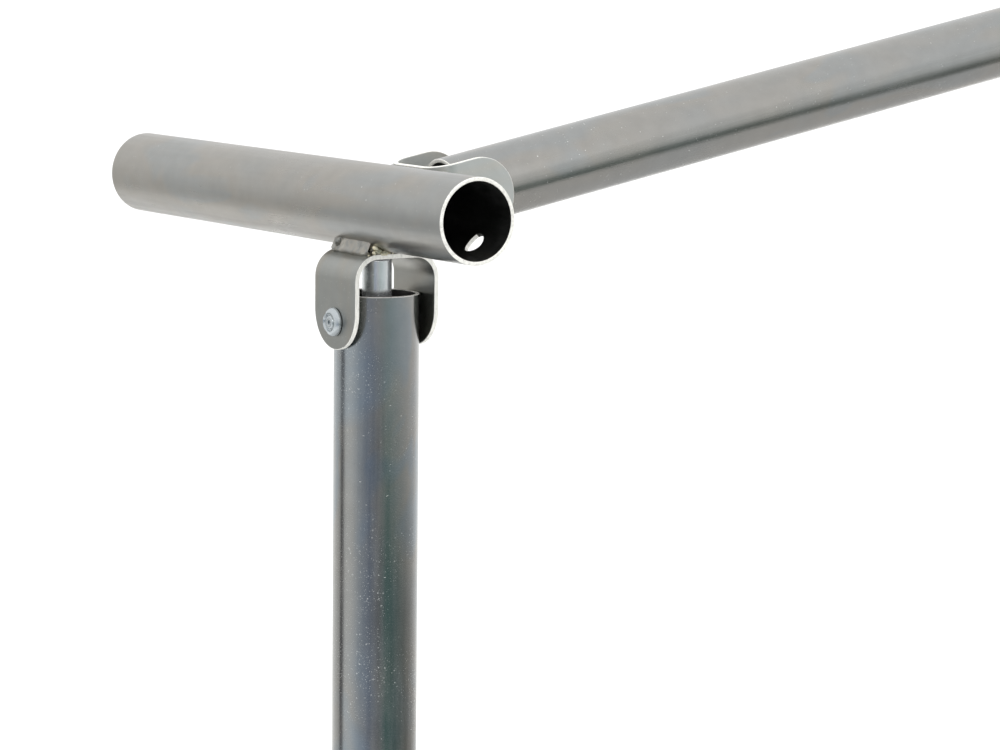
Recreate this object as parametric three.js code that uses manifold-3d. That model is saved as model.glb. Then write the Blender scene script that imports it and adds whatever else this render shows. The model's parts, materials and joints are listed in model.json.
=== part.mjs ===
// Folding garment stand of zinc-plated round steel tube.
// A top rail is hinged at each end to a head: a short cross tube with two bent strap
// clevises welded to it. Each head sits on a splayed telescopic post with a cross foot.
// Millimetres. X runs along the rail, Y along the cross tubes, +Z up, floor at Z = 0.
import * as THREE from 'three';
import { mergeVertices } from 'three/addons/utils/BufferGeometryUtils.js';
import Module from 'manifold-3d';

const wasm = await Module();
wasm.setup();

// ---- driving dimensions -------------------------------------------------------------
const CROSS = { outer: 16, wall: 1.5, shortArm: 68.5, longArm: 181.5 };
const POST = { outer: 16, wall: 1.5, length: 600 };
const LEG = { outer: 14, wall: 1.5, length: 640, overlap: 110 };
const RAIL = { outer: 14, wall: 1.5, pivotSpan: 1520, endBeyondPivot: 7.7, drop: 2.7 };
const FOOT = { outer: 16, wall: 1.5, length: 460, soleDrop: 24 };
const SPLAY = THREE.MathUtils.degToRad(11);
const GAP = 0.3;

const STRAP = { thickness: 2, width: 29, innerHalf: POST.outer + GAP, bend: 10 };
const POST_CLEVIS = { reach: 36.4, pivot: 42.3 };
const RAIL_CLEVIS = { reach: 33, pivot: 37.7 };
const WEB_FACE = CROSS.outer + GAP;
const POST_TOP = 32.3;

const PIN = { radius: 5.6, tip: 37.4, chamfer: 0.7, weldRing: 1.1, ringHeight: 1.6, ringEdge: 0.4 };
const LOCK_HOLE = { radius: 4.2, fromEnd: 18, angle: THREE.MathUtils.degToRad(-43) };
const BOLT = {
  radius: 3, tip: 0.4, head: 5.4, headHeight: 2.9, edge: 0.9, shoulder: 4.7, shoulderHeight: 2.1,
  crown: 3.7, recess: 3.2, recessDepth: 0.6,
};
const NUT = { radius: 5.4, height: 2.7, crown: 0.7 };
const WASHER = { radius: 9, thickness: 1.7 };
const HOLE = BOLT.radius + GAP;
const BEAD = { radius: 3.4, across: 9.6, depth: 1.6, pitch: 3.2, waist: 0.86, tip: 0.7 };
const POST_BEAD = { outerLength: 27, innerLength: 20, innerShift: 2.5 };
const RAIL_BEAD = { across: 9, length: 24.6 };

const COLLAR = { outer: 20, above: 24, below: 22, lip: 4, slope: 2.5, chamfer: 1.5, screwDrop: 11 };
const BOSS = { radius: 8, reach: 27 };
const KNOB = {
  lobes: 5, inner: 11.5, outer: 15.5, thickness: 13, stem: 6.5, stemLength: 7, bevel: 1.5, steps: 40,
};
const SOCKET = { top: 70, boltHeight: 48, legSeat: 20 };
const CAP = { outer: 19.5, cover: 22, wall: 3, chamfer: 2, soleHalf: 15, lipHeight: 8, lipInset: 0.6 };

const ROUND = 32;
const SMALL_ROUND = 12;
const MEDIUM_ROUND = 16;
const EAR_STEPS = 8;
const BEND_STEPS = 5;
const WELD_ROUND = 8;
const THROUGH = 40;
const PAST = 2;

// ---- derived places, in the head's own frame (origin where post and cross tube meet) --
const FOOT_AXIS = -(POST_TOP + POST.length - LEG.overlap + LEG.length + SOCKET.legSeat);
const HEAD_HEIGHT = FOOT.soleDrop - FOOT_AXIS * Math.cos(SPLAY);
const RAIL_HEIGHT = HEAD_HEIGHT - RAIL.drop;
const HEAD_X = RAIL.pivotSpan / 2 + RAIL_CLEVIS.pivot;

// ---- finishes -----------------------------------------------------------------------
const zinc = new THREE.MeshStandardMaterial({ color: 0xa9aaa4, roughness: 0.32, metalness: 1 });
const brightZinc = new THREE.MeshStandardMaterial({ color: 0x8e969b, roughness: 0.2, metalness: 1 });
const weldMetal = new THREE.MeshStandardMaterial({ color: 0x8f8c80, roughness: 0.5, metalness: 1 });
const boltSteel = new THREE.MeshStandardMaterial({ color: 0xb4bac0, roughness: 0.35, metalness: 1 });
const blackPlastic = new THREE.MeshStandardMaterial({ color: 0x1d1e20, roughness: 0.55, metalness: 0 });
const paleNylon = new THREE.MeshStandardMaterial({ color: 0xd8d6cc, roughness: 0.5, metalness: 0 });

// ---- solid helpers ------------------------------------------------------------------
function toSolid(geometry) {
  const plain = geometry.clone();
  plain.deleteAttribute('normal');
  plain.deleteAttribute('uv');
  const merged = mergeVertices(plain, 1e-4);
  const corners = merged.index.array;
  const triVerts = [];
  for (let i = 0; i < corners.length; i += 3) {
    const [a, b, c] = [corners[i], corners[i + 1], corners[i + 2]];
    if (a !== b && b !== c && c !== a) triVerts.push(a, b, c);
  }
  return new wasm.Manifold(new wasm.Mesh({
    numProp: 3,
    vertProperties: new Float32Array(merged.attributes.position.array),
    triVerts: new Uint32Array(triVerts),
  }));
}

function toGeometry(solid) {
  const mesh = solid.getMesh();
  const geometry = new THREE.BufferGeometry();
  geometry.setAttribute('position', new THREE.BufferAttribute(new Float32Array(mesh.vertProperties), 3));
  geometry.setIndex(new THREE.BufferAttribute(new Uint32Array(mesh.triVerts), 1));
  geometry.computeVertexNormals();
  return geometry;
}

function cut(geometry, ...tools) {
  let solid = toSolid(geometry);
  for (const tool of tools) solid = solid.subtract(toSolid(tool));
  return toGeometry(solid);
}

function join(...pieces) {
  let solid = toSolid(pieces[0]);
  for (const piece of pieces.slice(1)) solid = solid.add(toSolid(piece));
  return toGeometry(solid);
}

// A turned piece about Z: outline points are [radius, height], anticlockwise.
function turned(outline, sides = ROUND) {
  const points = outline.map(([radius, height]) => new THREE.Vector2(radius, height));
  return new THREE.LatheGeometry(points, sides).rotateX(Math.PI / 2);
}

function tubeZ(outer, wall, bottom, top, sides = ROUND) {
  const inner = outer - wall;
  return turned([[inner, bottom], [outer, bottom], [outer, top], [inner, top], [inner, bottom]], sides);
}

function rodZ(radius, bottom, top, sides = SMALL_ROUND) {
  return turned([[0, bottom], [radius, bottom], [radius, top], [0, top]], sides);
}

const alongX = (geometry) => geometry.rotateY(Math.PI / 2);
const alongY = (geometry) => geometry.rotateX(-Math.PI / 2);

// The room of a bolt hole along X through a piece that reaches to the given half-width.
const crossHole = (half) => alongX(rodZ(HOLE, -half - PAST, half + PAST));

function named(name, geometry, material) {
  const mesh = new THREE.Mesh(geometry, material);
  mesh.name = name;
  return mesh;
}

// ---- strap clevis -------------------------------------------------------------------
// Drawn with its web across Z = 0, ears pointing to -Z and spaced along X, width along Y.
function strapProfile() {
  const outer = STRAP.innerHalf + STRAP.thickness;
  const inner = STRAP.innerHalf;
  const innerBend = STRAP.bend - STRAP.thickness;
  const bottom = -1.5 * THROUGH;
  const shape = new THREE.Shape();
  shape.moveTo(-outer, bottom);
  shape.lineTo(-inner, bottom);
  shape.lineTo(-inner, -STRAP.bend);
  shape.absarc(-inner + innerBend, -STRAP.bend, innerBend, Math.PI, Math.PI / 2, true);
  shape.absarc(inner - innerBend, -STRAP.bend, innerBend, Math.PI / 2, 0, true);
  shape.lineTo(inner, bottom);
  shape.lineTo(outer, bottom);
  shape.lineTo(outer, -STRAP.bend);
  shape.absarc(outer - STRAP.bend, -STRAP.bend, STRAP.bend, 0, Math.PI / 2, false);
  shape.absarc(-outer + STRAP.bend, -STRAP.bend, STRAP.bend, Math.PI / 2, Math.PI, false);
  return shape;
}

function earOutline(reach) {
  const half = STRAP.width / 2;
  const outline = new THREE.Shape();
  outline.moveTo(-half, PAST);
  outline.lineTo(-half, -reach + half);
  outline.absarc(0, -reach + half, half, Math.PI, 2 * Math.PI, false);
  outline.lineTo(half, PAST);
  return outline;
}

function strapClevis(reach, boltDrop) {
  const width = STRAP.width + PAST;
  const bent = new THREE.ExtrudeGeometry(strapProfile(), {
    depth: width, bevelEnabled: false, curveSegments: BEND_STEPS,
  }).translate(0, 0, -width / 2).rotateX(Math.PI / 2);
  const outline = new THREE.ExtrudeGeometry(earOutline(reach), {
    depth: 2 * THROUGH, bevelEnabled: false, curveSegments: EAR_STEPS,
  }).translate(0, 0, -THROUGH).rotateX(Math.PI / 2).rotateZ(Math.PI / 2);
  const hole = crossHole(THROUGH).translate(0, 0, -boltDrop);
  const clevis = toSolid(bent).intersect(toSolid(outline)).subtract(toSolid(hole));
  return toGeometry(clevis);
}

// ---- weld beads -----------------------------------------------------------------------
// A rippled roll of weld along Y, before it is trimmed to its neighbours.
function rippledRoll(length) {
  const halfSteps = 2 * Math.round(length / BEAD.pitch);
  const outline = [[0, -length / 2]];
  for (let i = 0; i <= halfSteps; i += 1) {
    const swell = i % 2 ? 1 : BEAD.waist;
    const end = i === 0 || i === halfSteps ? BEAD.tip : 1;
    outline.push([BEAD.radius * swell * end, -length / 2 + (length * i) / halfSteps]);
  }
  outline.push([0, length / 2]);
  return alongY(turned(outline, WELD_ROUND));
}

// The room that the cross tube takes, seen from a strap whose web lies across Z = 0.
function tubeRoom(length, offset) {
  return alongY(rodZ(CROSS.outer + GAP, -length, length, ROUND)).translate(offset, 0, WEB_FACE);
}

// A bead beside the post's strap, which bends away from the tube there.
function bendBead(length, side) {
  const roll = rippledRoll(length).translate(side * BEAD.across, 0, BEAD.depth);
  const halfFlat = STRAP.innerHalf + STRAP.thickness - STRAP.bend;
  const bend = alongY(rodZ(STRAP.bend + GAP, -length, length, MEDIUM_ROUND))
    .translate(side * halfFlat, 0, -STRAP.bend);
  const flat = new THREE.BoxGeometry(2 * halfFlat, 2 * length, STRAP.bend)
    .translate(0, 0, GAP - STRAP.bend / 2);
  return cut(roll, tubeRoom(length, 0), bend, flat);
}

// A bead above or below the rail's strap, on the flat of its web.
function flatBead(length, side) {
  const roll = rippledRoll(length).translate(RAIL.drop + side * RAIL_BEAD.across, 0, BEAD.depth);
  const web = new THREE.BoxGeometry(THROUGH, 2 * length, STRAP.bend)
    .translate(0, 0, GAP - STRAP.bend / 2);
  return cut(roll, tubeRoom(length, RAIL.drop), web);
}

// ---- fasteners, drawn along Z with the under-head face at Z = 0 and the shank below --
function domedBolt(grip) {
  const { radius, tip, head, headHeight, edge, shoulder, shoulderHeight, crown } = BOLT;
  const body = turned([
    [0, -grip], [radius - tip, -grip], [radius, -grip + tip], [radius, 0], [head, 0], [head, edge],
    [shoulder, shoulderHeight], [crown, headHeight], [0, headHeight],
  ], SMALL_ROUND);
  return cut(body, rodZ(BOLT.recess, headHeight - BOLT.recessDepth, headHeight + PAST));
}

function nutShape() {
  const { radius, height, crown } = NUT;
  return turned([
    [HOLE, 0], [radius, 0], [radius, height - crown], [radius - crown, height], [HOLE, height], [HOLE, 0],
  ], SMALL_ROUND);
}

function spacerWasher() {
  const half = WASHER.thickness / 2;
  return turned([
    [HOLE, -half], [WASHER.radius, -half], [WASHER.radius, half], [HOLE, half], [HOLE, -half],
  ], SMALL_ROUND);
}

// A bolt and its nut along Z, through pieces whose outer faces are at +-faceHalf.
function boltPair(prefix, faceHalf) {
  const grip = 2 * (faceHalf + GAP) + NUT.height - BOLT.tip;
  const bolt = named(`${prefix}_bolt`, domedBolt(grip), boltSteel);
  bolt.position.z = faceHalf + GAP;
  const nut = named(`${prefix}_nut`, nutShape(), boltSteel);
  nut.rotation.x = Math.PI;
  nut.position.z = -faceHalf - GAP;
  const pair = new THREE.Group();
  pair.add(bolt, nut);
  return pair;
}

// ---- head: cross tube with both clevises and the stub pin -----------------------------
function crossTube() {
  const { outer, wall, shortArm, longArm } = CROSS;
  const tube = alongY(tubeZ(outer, wall, -shortArm, longArm));
  const hole = alongX(rodZ(LOCK_HOLE.radius, outer / 2, outer + PAST))
    .rotateY(-LOCK_HOLE.angle)
    .translate(0, LOCK_HOLE.fromEnd - shortArm, 0);
  return cut(tube, hole);
}

function stubPin() {
  const { radius, tip, chamfer, weldRing, ringHeight, ringEdge } = PIN;
  const top = -WEB_FACE - STRAP.thickness - GAP;
  return turned([
    [0, -tip], [radius - chamfer, -tip], [radius, -tip + chamfer], [radius, top - ringHeight],
    [radius + weldRing, top - ringEdge], [radius + weldRing, top], [0, top],
  ], MEDIUM_ROUND);
}

function postClevis(side) {
  const { outerLength, innerLength, innerShift } = POST_BEAD;
  const clevis = strapClevis(POST_CLEVIS.reach, POST_CLEVIS.pivot - WEB_FACE);
  const inner = named(`${side}_post_weld_inner`, bendBead(innerLength, 1), weldMetal);
  inner.position.y = innerShift;
  const group = new THREE.Group();
  group.add(named(`${side}_post_clevis`, clevis, zinc), inner);
  group.add(named(`${side}_post_weld_outer`, bendBead(outerLength, -1), weldMetal));
  group.position.z = -WEB_FACE;
  return group;
}

// The rail's clevis is the same strap turned to face the rail, so its ears are spaced
// along Y; the beads still run along Y, in the grooves above and below the web.
function railClevis(side) {
  const group = new THREE.Group();
  const shape = strapClevis(RAIL_CLEVIS.reach, RAIL_CLEVIS.pivot - WEB_FACE);
  const clevis = named(`${side}_rail_clevis`, shape, zinc);
  clevis.rotation.z = Math.PI / 2;
  group.add(clevis);
  for (const [place, sideways] of [['upper', 1], ['lower', -1]]) {
    group.add(named(`${side}_rail_weld_${place}`, flatBead(RAIL_BEAD.length, sideways), weldMetal));
  }
  group.position.z = -WEB_FACE;
  const facingRail = new THREE.Group();
  facingRail.add(group);
  facingRail.rotation.y = -Math.PI / 2;
  return facingRail;
}

function head(side) {
  const group = new THREE.Group();
  group.add(named(`${side}_cross_tube`, crossTube(), zinc));
  group.add(named(`${side}_stub_pin`, stubPin(), brightZinc));
  group.add(postClevis(side));
  const facing = railClevis(side);
  facing.rotation.y -= SPLAY;
  facing.position.set(RAIL.drop * Math.sin(SPLAY), 0, -RAIL.drop * Math.cos(SPLAY));
  group.add(facing);
  const face = STRAP.innerHalf + STRAP.thickness;
  const postBolt = boltPair(`${side}_post`, face);
  postBolt.rotation.y = -Math.PI / 2;
  postBolt.position.z = -POST_CLEVIS.pivot;
  group.add(postBolt);
  return group;
}

// ---- post, leg and foot ---------------------------------------------------------------
function postTube() {
  const bottom = -POST_TOP - POST.length;
  const tube = tubeZ(POST.outer, POST.wall, bottom, -POST_TOP);
  const hole = crossHole(POST.outer).translate(0, 0, -POST_CLEVIS.pivot);
  return cut(tube, hole);
}

const COLLAR_SEAT = -POST_TOP - POST.length;
const SCREW_HEIGHT = COLLAR_SEAT - COLLAR.screwDrop;

function collar() {
  const { outer, above, below, lip, slope, chamfer } = COLLAR;
  const grip = POST.outer + GAP;
  const guide = LEG.outer + GAP;
  const [low, high] = [COLLAR_SEAT - below, COLLAR_SEAT + above];
  const ring = turned([
    [guide, low], [outer - chamfer, low], [outer, low + chamfer], [outer, high - lip],
    [outer - slope, high], [grip, high], [grip, COLLAR_SEAT - GAP], [guide, COLLAR_SEAT - GAP], [guide, low],
  ]);
  const boss = alongX(rodZ(BOSS.radius, -BOSS.reach, -LEG.outer - PAST, MEDIUM_ROUND));
  const bore = alongX(rodZ(HOLE, -BOSS.reach - PAST, -LEG.outer + PAST));
  return cut(join(ring, boss.translate(0, 0, SCREW_HEIGHT)), bore.translate(0, 0, SCREW_HEIGHT));
}

function starKnob() {
  const { lobes, inner, outer, thickness, stem, stemLength, bevel, steps } = KNOB;
  const shape = new THREE.Shape();
  for (let i = 0; i < steps; i += 1) {
    const angle = (2 * Math.PI * i) / steps;
    const radius = (outer + inner) / 2 + ((outer - inner) / 2) * Math.cos(lobes * angle);
    const point = [radius * Math.cos(angle), radius * Math.sin(angle)];
    if (i === 0) shape.moveTo(...point);
    else shape.lineTo(...point);
  }
  const grip = new THREE.ExtrudeGeometry(shape, {
    depth: thickness - 2 * bevel, bevelEnabled: true, bevelThickness: bevel, bevelSize: bevel,
    bevelOffset: -bevel, bevelSegments: 2,
  }).translate(0, 0, stemLength + bevel);
  const screw = rodZ(BOLT.radius, LEG.outer - BOSS.reach, PAST);
  return join(grip, rodZ(stem, 0, stemLength + PAST), screw);
}

function legTube() {
  const top = COLLAR_SEAT + LEG.overlap;
  const tube = tubeZ(LEG.outer, LEG.wall, top - LEG.length, top);
  return cut(tube, crossHole(LEG.outer).translate(0, 0, FOOT_AXIS + SOCKET.boltHeight));
}

function footSocket() {
  const tube = tubeZ(FOOT.outer, FOOT.wall, FOOT_AXIS, FOOT_AXIS + SOCKET.top);
  const saddle = alongY(rodZ(FOOT.outer + GAP, -THROUGH, THROUGH, ROUND)).translate(0, 0, FOOT_AXIS);
  return cut(tube, saddle, crossHole(FOOT.outer).translate(0, 0, FOOT_AXIS + SOCKET.boltHeight));
}

function footCap() {
  const { outer, cover, wall, chamfer, soleHalf, lipHeight, lipInset } = CAP;
  const inner = FOOT.outer + GAP;
  const shell = turned([
    [0, -wall], [outer - chamfer, -wall], [outer, -wall + chamfer], [outer, cover], [inner, cover],
    [inner, 0], [0, 0],
  ]);
  const sole = new THREE.BoxGeometry(2 * soleHalf, FOOT.soleDrop, cover + wall)
    .translate(0, -FOOT.soleDrop / 2, (cover - wall) / 2);
  const room = rodZ(inner, 0, cover + PAST, ROUND);
  const lip = new THREE.BoxGeometry(2 * soleHalf + PAST, lipHeight, PAST)
    .translate(0, -FOOT.soleDrop + lipHeight / 2, -wall - PAST / 2 + lipInset);
  return cut(join(shell, cut(sole, room)), lip);
}

function foot(side) {
  const group = new THREE.Group();
  group.add(named(`${side}_foot_socket`, footSocket(), zinc));
  const half = FOOT.length / 2;
  const tube = named(`${side}_foot_tube`, alongY(tubeZ(FOOT.outer, FOOT.wall, -half, half)), zinc);
  tube.position.z = FOOT_AXIS;
  group.add(tube);
  for (const [place, direction] of [['front', -1], ['back', 1]]) {
    const cap = named(`${side}_foot_cap_${place}`, footCap(), blackPlastic);
    cap.rotation.set(Math.PI / 2, direction < 0 ? Math.PI : 0, 0);
    const level = new THREE.Group();
    level.add(cap);
    level.position.set(0, direction * (half + GAP), FOOT_AXIS);
    level.rotation.y = -SPLAY;
    group.add(level);
  }
  const bolt = boltPair(`${side}_foot`, FOOT.outer);
  bolt.rotation.y = -Math.PI / 2;
  bolt.position.z = FOOT_AXIS + SOCKET.boltHeight;
  group.add(bolt);
  return group;
}

function post(side) {
  const group = new THREE.Group();
  group.add(named(`${side}_post_tube`, postTube(), brightZinc));
  group.add(named(`${side}_post_collar`, collar(), blackPlastic));
  const knob = named(`${side}_post_knob`, starKnob(), blackPlastic);
  knob.rotation.y = -Math.PI / 2;
  knob.position.set(-BOSS.reach - GAP, 0, SCREW_HEIGHT);
  group.add(knob);
  group.add(named(`${side}_leg_tube`, legTube(), brightZinc));
  group.add(foot(side));
  return group;
}

// One end of the stand, drawn with the rail leaving towards +X, then tilted by the splay.
function standEnd(side) {
  const tilted = new THREE.Group();
  tilted.add(head(side), post(side));
  tilted.rotation.y = SPLAY;
  tilted.position.set(-HEAD_X, 0, HEAD_HEIGHT);
  return tilted;
}

// ---- rail and its hinge bolts -----------------------------------------------------------
function railTube() {
  const half = RAIL.pivotSpan / 2 + RAIL.endBeyondPivot;
  const tube = alongX(tubeZ(RAIL.outer, RAIL.wall, -half, half));
  const holes = [-1, 1].map((end) => crossHole(RAIL.outer).rotateZ(Math.PI / 2)
    .translate((end * RAIL.pivotSpan) / 2, 0, 0));
  return cut(tube, ...holes);
}

function railHinge(side) {
  const group = boltPair(`${side}_rail`, STRAP.innerHalf + STRAP.thickness);
  const washerPlace = (RAIL.outer + STRAP.innerHalf) / 2;
  for (const [place, direction] of [['front', 1], ['back', -1]]) {
    const washer = named(`${side}_rail_spacer_${place}`, spacerWasher(), paleNylon);
    washer.position.z = direction * washerPlace;
    group.add(washer);
  }
  group.rotation.x = Math.PI / 2;
  group.position.set(-RAIL.pivotSpan / 2, 0, RAIL_HEIGHT);
  return group;
}

const stand = new THREE.Group();
const rail = named('rail_tube', railTube(), brightZinc);
rail.position.z = RAIL_HEIGHT;
stand.add(rail);
for (const [side, turn] of [['left', 0], ['right', Math.PI]]) {
  const end = new THREE.Group();
  end.add(standEnd(side), railHinge(side));
  end.rotation.z = turn;
  stand.add(end);
}

export default stand;
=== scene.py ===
"""Looks of a folding garment stand made of zinc-plated round steel tube.

Every tube, bent strap, weld bead, fastener and moulding is built here as a fine mesh around the
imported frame, dressed in procedural finishes, and lit on a plain pale floor. Sizes inside the
classes are millimetres in the piece's own frame; Blender objects are metres in the shared frame.
"""

import json
import logging
import math
import random
from dataclasses import dataclass
from enum import Enum
from typing import Callable, Sequence

import bpy
from mathutils import Matrix, Vector


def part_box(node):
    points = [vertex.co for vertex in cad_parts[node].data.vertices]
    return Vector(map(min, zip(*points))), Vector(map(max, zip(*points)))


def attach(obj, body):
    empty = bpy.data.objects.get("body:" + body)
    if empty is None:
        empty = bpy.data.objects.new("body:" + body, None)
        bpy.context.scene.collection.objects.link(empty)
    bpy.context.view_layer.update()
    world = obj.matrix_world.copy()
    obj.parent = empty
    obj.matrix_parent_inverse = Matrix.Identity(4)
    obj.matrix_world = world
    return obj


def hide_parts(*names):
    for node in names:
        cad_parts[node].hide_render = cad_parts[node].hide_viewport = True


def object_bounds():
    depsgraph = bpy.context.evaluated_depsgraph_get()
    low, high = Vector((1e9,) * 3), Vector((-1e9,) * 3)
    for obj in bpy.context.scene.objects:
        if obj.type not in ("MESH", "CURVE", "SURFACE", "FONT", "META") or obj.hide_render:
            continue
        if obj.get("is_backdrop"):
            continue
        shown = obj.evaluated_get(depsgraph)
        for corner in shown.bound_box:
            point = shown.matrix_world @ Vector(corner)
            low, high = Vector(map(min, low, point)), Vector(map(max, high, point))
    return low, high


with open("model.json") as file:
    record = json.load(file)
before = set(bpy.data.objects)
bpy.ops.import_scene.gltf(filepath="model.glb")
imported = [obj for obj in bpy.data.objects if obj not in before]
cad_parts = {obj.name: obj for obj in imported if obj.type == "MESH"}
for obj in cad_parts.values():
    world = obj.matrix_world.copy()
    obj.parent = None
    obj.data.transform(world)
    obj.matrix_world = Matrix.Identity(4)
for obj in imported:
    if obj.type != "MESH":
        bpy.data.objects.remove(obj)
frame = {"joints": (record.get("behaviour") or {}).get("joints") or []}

LOG = logging.getLogger("garment_stand")
MM = 0.001
SEED = 20
BOLT_HOLE = 3.3
DRILL_HALF = 40.0
SAWN_EDGE = 0.4
FINE = 160
Ring = list[Vector]
Point = tuple[float, float]
Socket = bpy.types.NodeSocket
Material = bpy.types.Material


class Side(Enum):
    """The two ends of the stand."""

    LEFT = "left"
    RIGHT = "right"


class Slot(Enum):
    """The record's material slots."""

    TUBE = "tube_zinc"
    STRAP = "strap_zinc"
    WELD = "weld_metal"
    BOLT = "bolt_steel"
    PLASTIC = "black_plastic"
    NYLON = "nylon"


class Surface(Enum):
    """Which of a piece's material slots a face takes."""

    SKIN = 0
    CUT = 1
    BORE = 2


# ---- node graphs and finishes -----------------------------------------------------------


class Graph:
    """A material's node tree with short calls to add and join nodes."""

    def __init__(self, name: str) -> None:
        """Starts a material with one Principled shader.

        Args:
            name: the material's name.
        """
        self.material = bpy.data.materials.new(name)
        self.material.use_nodes = True
        self.tree = self.material.node_tree
        self.shader = self.tree.nodes["Principled BSDF"]
        self.place = self.add("ShaderNodeTexCoord").outputs["Object"]

    def add(self, kind: str, **settings: object) -> bpy.types.Node:
        """Adds a node.

        Args:
            kind: the node's type name.
            **settings: attributes to set on it.

        Returns:
            The new node.
        """
        node = self.tree.nodes.new(kind)
        for key, value in settings.items():
            setattr(node, key, value)
        return node

    def feed(self, socket: Socket, value: object) -> None:
        """Links an output to a socket, or sets the socket's own value.

        Args:
            socket: the input socket.
            value: an output socket, a number or a colour.
        """
        if isinstance(value, Socket):
            self.tree.links.new(value, socket)
        else:
            socket.default_value = value

    def stretched(self, scale: Sequence[float]) -> Socket:
        """Gives the piece's own coordinates, scaled along each axis.

        Args:
            scale: factors along X, Y and Z.

        Returns:
            The scaled coordinates.
        """
        mapping = self.add("ShaderNodeMapping")
        self.feed(mapping.inputs["Vector"], self.place)
        mapping.inputs["Scale"].default_value = scale
        return mapping.outputs["Vector"]

    def noise(self, scale: float, detail: float = 4.0, stretch: Sequence[float] = (1, 1, 1),
              twist: float = 0.0) -> Socket:
        """Adds a noise texture.

        Args:
            scale: features per metre.
            detail: octaves.
            stretch: extra scale along each axis.
            twist: distortion.

        Returns:
            The noise value, 0 to 1.
        """
        node = self.add("ShaderNodeTexNoise")
        self.feed(node.inputs["Vector"], self.stretched(stretch))
        node.inputs["Scale"].default_value = scale
        node.inputs["Detail"].default_value = detail
        node.inputs["Distortion"].default_value = twist
        return node.outputs["Fac"]

    def band(self, value: Socket, low: float, high: float,
             start: float = 0.0, end: float = 1.0) -> Socket:
        """Maps a value from one range to another, clamped.

        Args:
            value: the value.
            low: input that gives start.
            high: input that gives end.
            start: first result.
            end: last result.

        Returns:
            The mapped value.
        """
        node = self.add("ShaderNodeMapRange", clamp=True)
        self.feed(node.inputs["Value"], value)
        limits = (("From Min", low), ("From Max", high), ("To Min", start), ("To Max", end))
        for name, number in limits:
            node.inputs[name].default_value = number
        return node.outputs["Result"]

    def gloss(self, scale: float, detail: float, low: float, high: float) -> Socket:
        """Gives a cloudy roughness from low to high, with features per metre and octaves."""
        return self.band(self.noise(scale, detail), 0.3, 0.7, low, high)

    def math(self, kind: str, first: object, second: object) -> Socket:
        """Joins two values by a math operation.

        Args:
            kind: the operation's name.
            first: output socket or number.
            second: output socket or number.

        Returns:
            The result.
        """
        node = self.add("ShaderNodeMath", operation=kind)
        self.feed(node.inputs[0], first)
        self.feed(node.inputs[1], second)
        return node.outputs[0]

    def ramp(self, value: Socket,
             stops: Sequence[tuple[float, Sequence[float]]]) -> Socket:
        """Colours a value by a ramp.

        Args:
            value: the value.
            stops: positions with linear colours.

        Returns:
            The colour.
        """
        node = self.add("ShaderNodeValToRGB")
        self.feed(node.inputs["Fac"], value)
        elements = node.color_ramp.elements
        while len(elements) < len(stops):
            elements.new(0.5)
        for element, (position, colour) in zip(elements, stops):
            element.position = position
            element.color = (*colour, 1.0)
        return node.outputs["Color"]

    def blend(self, factor: object, first: object, second: object,
              kind: str = "MIX") -> Socket:
        """Mixes two colours.

        Args:
            factor: share of the second, a socket or number.
            first: colour socket or linear RGB.
            second: colour socket or linear RGB.
            kind: blend type.

        Returns:
            The mixed colour.
        """
        node = self.add("ShaderNodeMix", data_type="RGBA", blend_type=kind)
        self.feed(node.inputs["Factor"], factor)
        colour_sockets = [socket for socket in node.inputs if socket.type == "RGBA"]
        for socket, colour in zip(colour_sockets, (first, second)):
            linked = isinstance(colour, Socket)
            self.feed(socket, colour if linked else (*colour, 1.0))
        return next(out for out in node.outputs if out.type == "RGBA")

    def specks(self, per_metre: float, size: float, share: float,
               stretch: Sequence[float] = (1, 1, 1)) -> Socket:
        """Makes scattered dots.

        Args:
            per_metre: cells per metre.
            size: dot radius as a part of a cell.
            share: part of the cells that hold a dot.
            stretch: extra scale along each axis; a small one draws the dots out.

        Returns:
            1 on a dot, 0 off it.
        """
        node = self.add("ShaderNodeTexVoronoi")
        self.feed(node.inputs["Vector"], self.stretched(stretch))
        node.inputs["Scale"].default_value = per_metre
        dot = self.band(node.outputs["Distance"], size, size * 0.5)
        split = self.add("ShaderNodeSeparateColor")
        self.feed(split.inputs["Color"], node.outputs["Color"])
        kept = self.math("LESS_THAN", split.outputs[0], share)
        return self.math("MULTIPLY", dot, kept)

    def scratches(self, scale: float, lean: Sequence[float], width: float) -> Socket:
        """Makes thin broken lines.

        Args:
            scale: noise features per metre.
            lean: scale along each axis, small along the lines.
            width: how wide a band of the noise counts as a line.

        Returns:
            1 on a line, 0 off it.
        """
        middle = self.math("SUBTRACT", self.noise(scale, 1.0, lean, 0.6), 0.5)
        lines = self.math("ABSOLUTE", middle, 0.0)
        thin = self.band(lines, width, width * 0.3)
        gate = self.band(self.noise(scale * 0.35, 2.0), 0.56, 0.6)
        return self.math("MULTIPLY", thin, gate)

    def bump(self, height: Socket, depth: float) -> None:
        """Feeds a height into the shader's normal.

        Args:
            height: the height value.
            depth: its real depth in metres.
        """
        node = self.add("ShaderNodeBump")
        node.inputs["Strength"].default_value = 1.0
        node.inputs["Distance"].default_value = depth
        self.feed(node.inputs["Height"], height)
        self.feed(self.shader.inputs["Normal"], node.outputs["Normal"])

    def wear(self, inputs: dict[str, object]) -> Material:
        """Feeds the shader's inputs.

        Args:
            inputs: socket names with their values.

        Returns:
            The finished material.
        """
        for name, value in inputs.items():
            colour = isinstance(value, tuple) and len(value) == 3
            self.feed(self.shader.inputs[name], (*value, 1.0) if colour else value)
        return self.material


def shade(colour: Sequence[float], factor: float, warmth: float = 0.0) -> tuple[float, float, float]:
    """Lightens or warms a colour.

    Args:
        colour: linear RGB.
        factor: brightness factor.
        warmth: shift from blue to red.

    Returns:
        The new linear RGB.
    """
    red, green, blue = (part * factor for part in colour)
    return red * (1 + warmth), green, blue * (1 - warmth)


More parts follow.
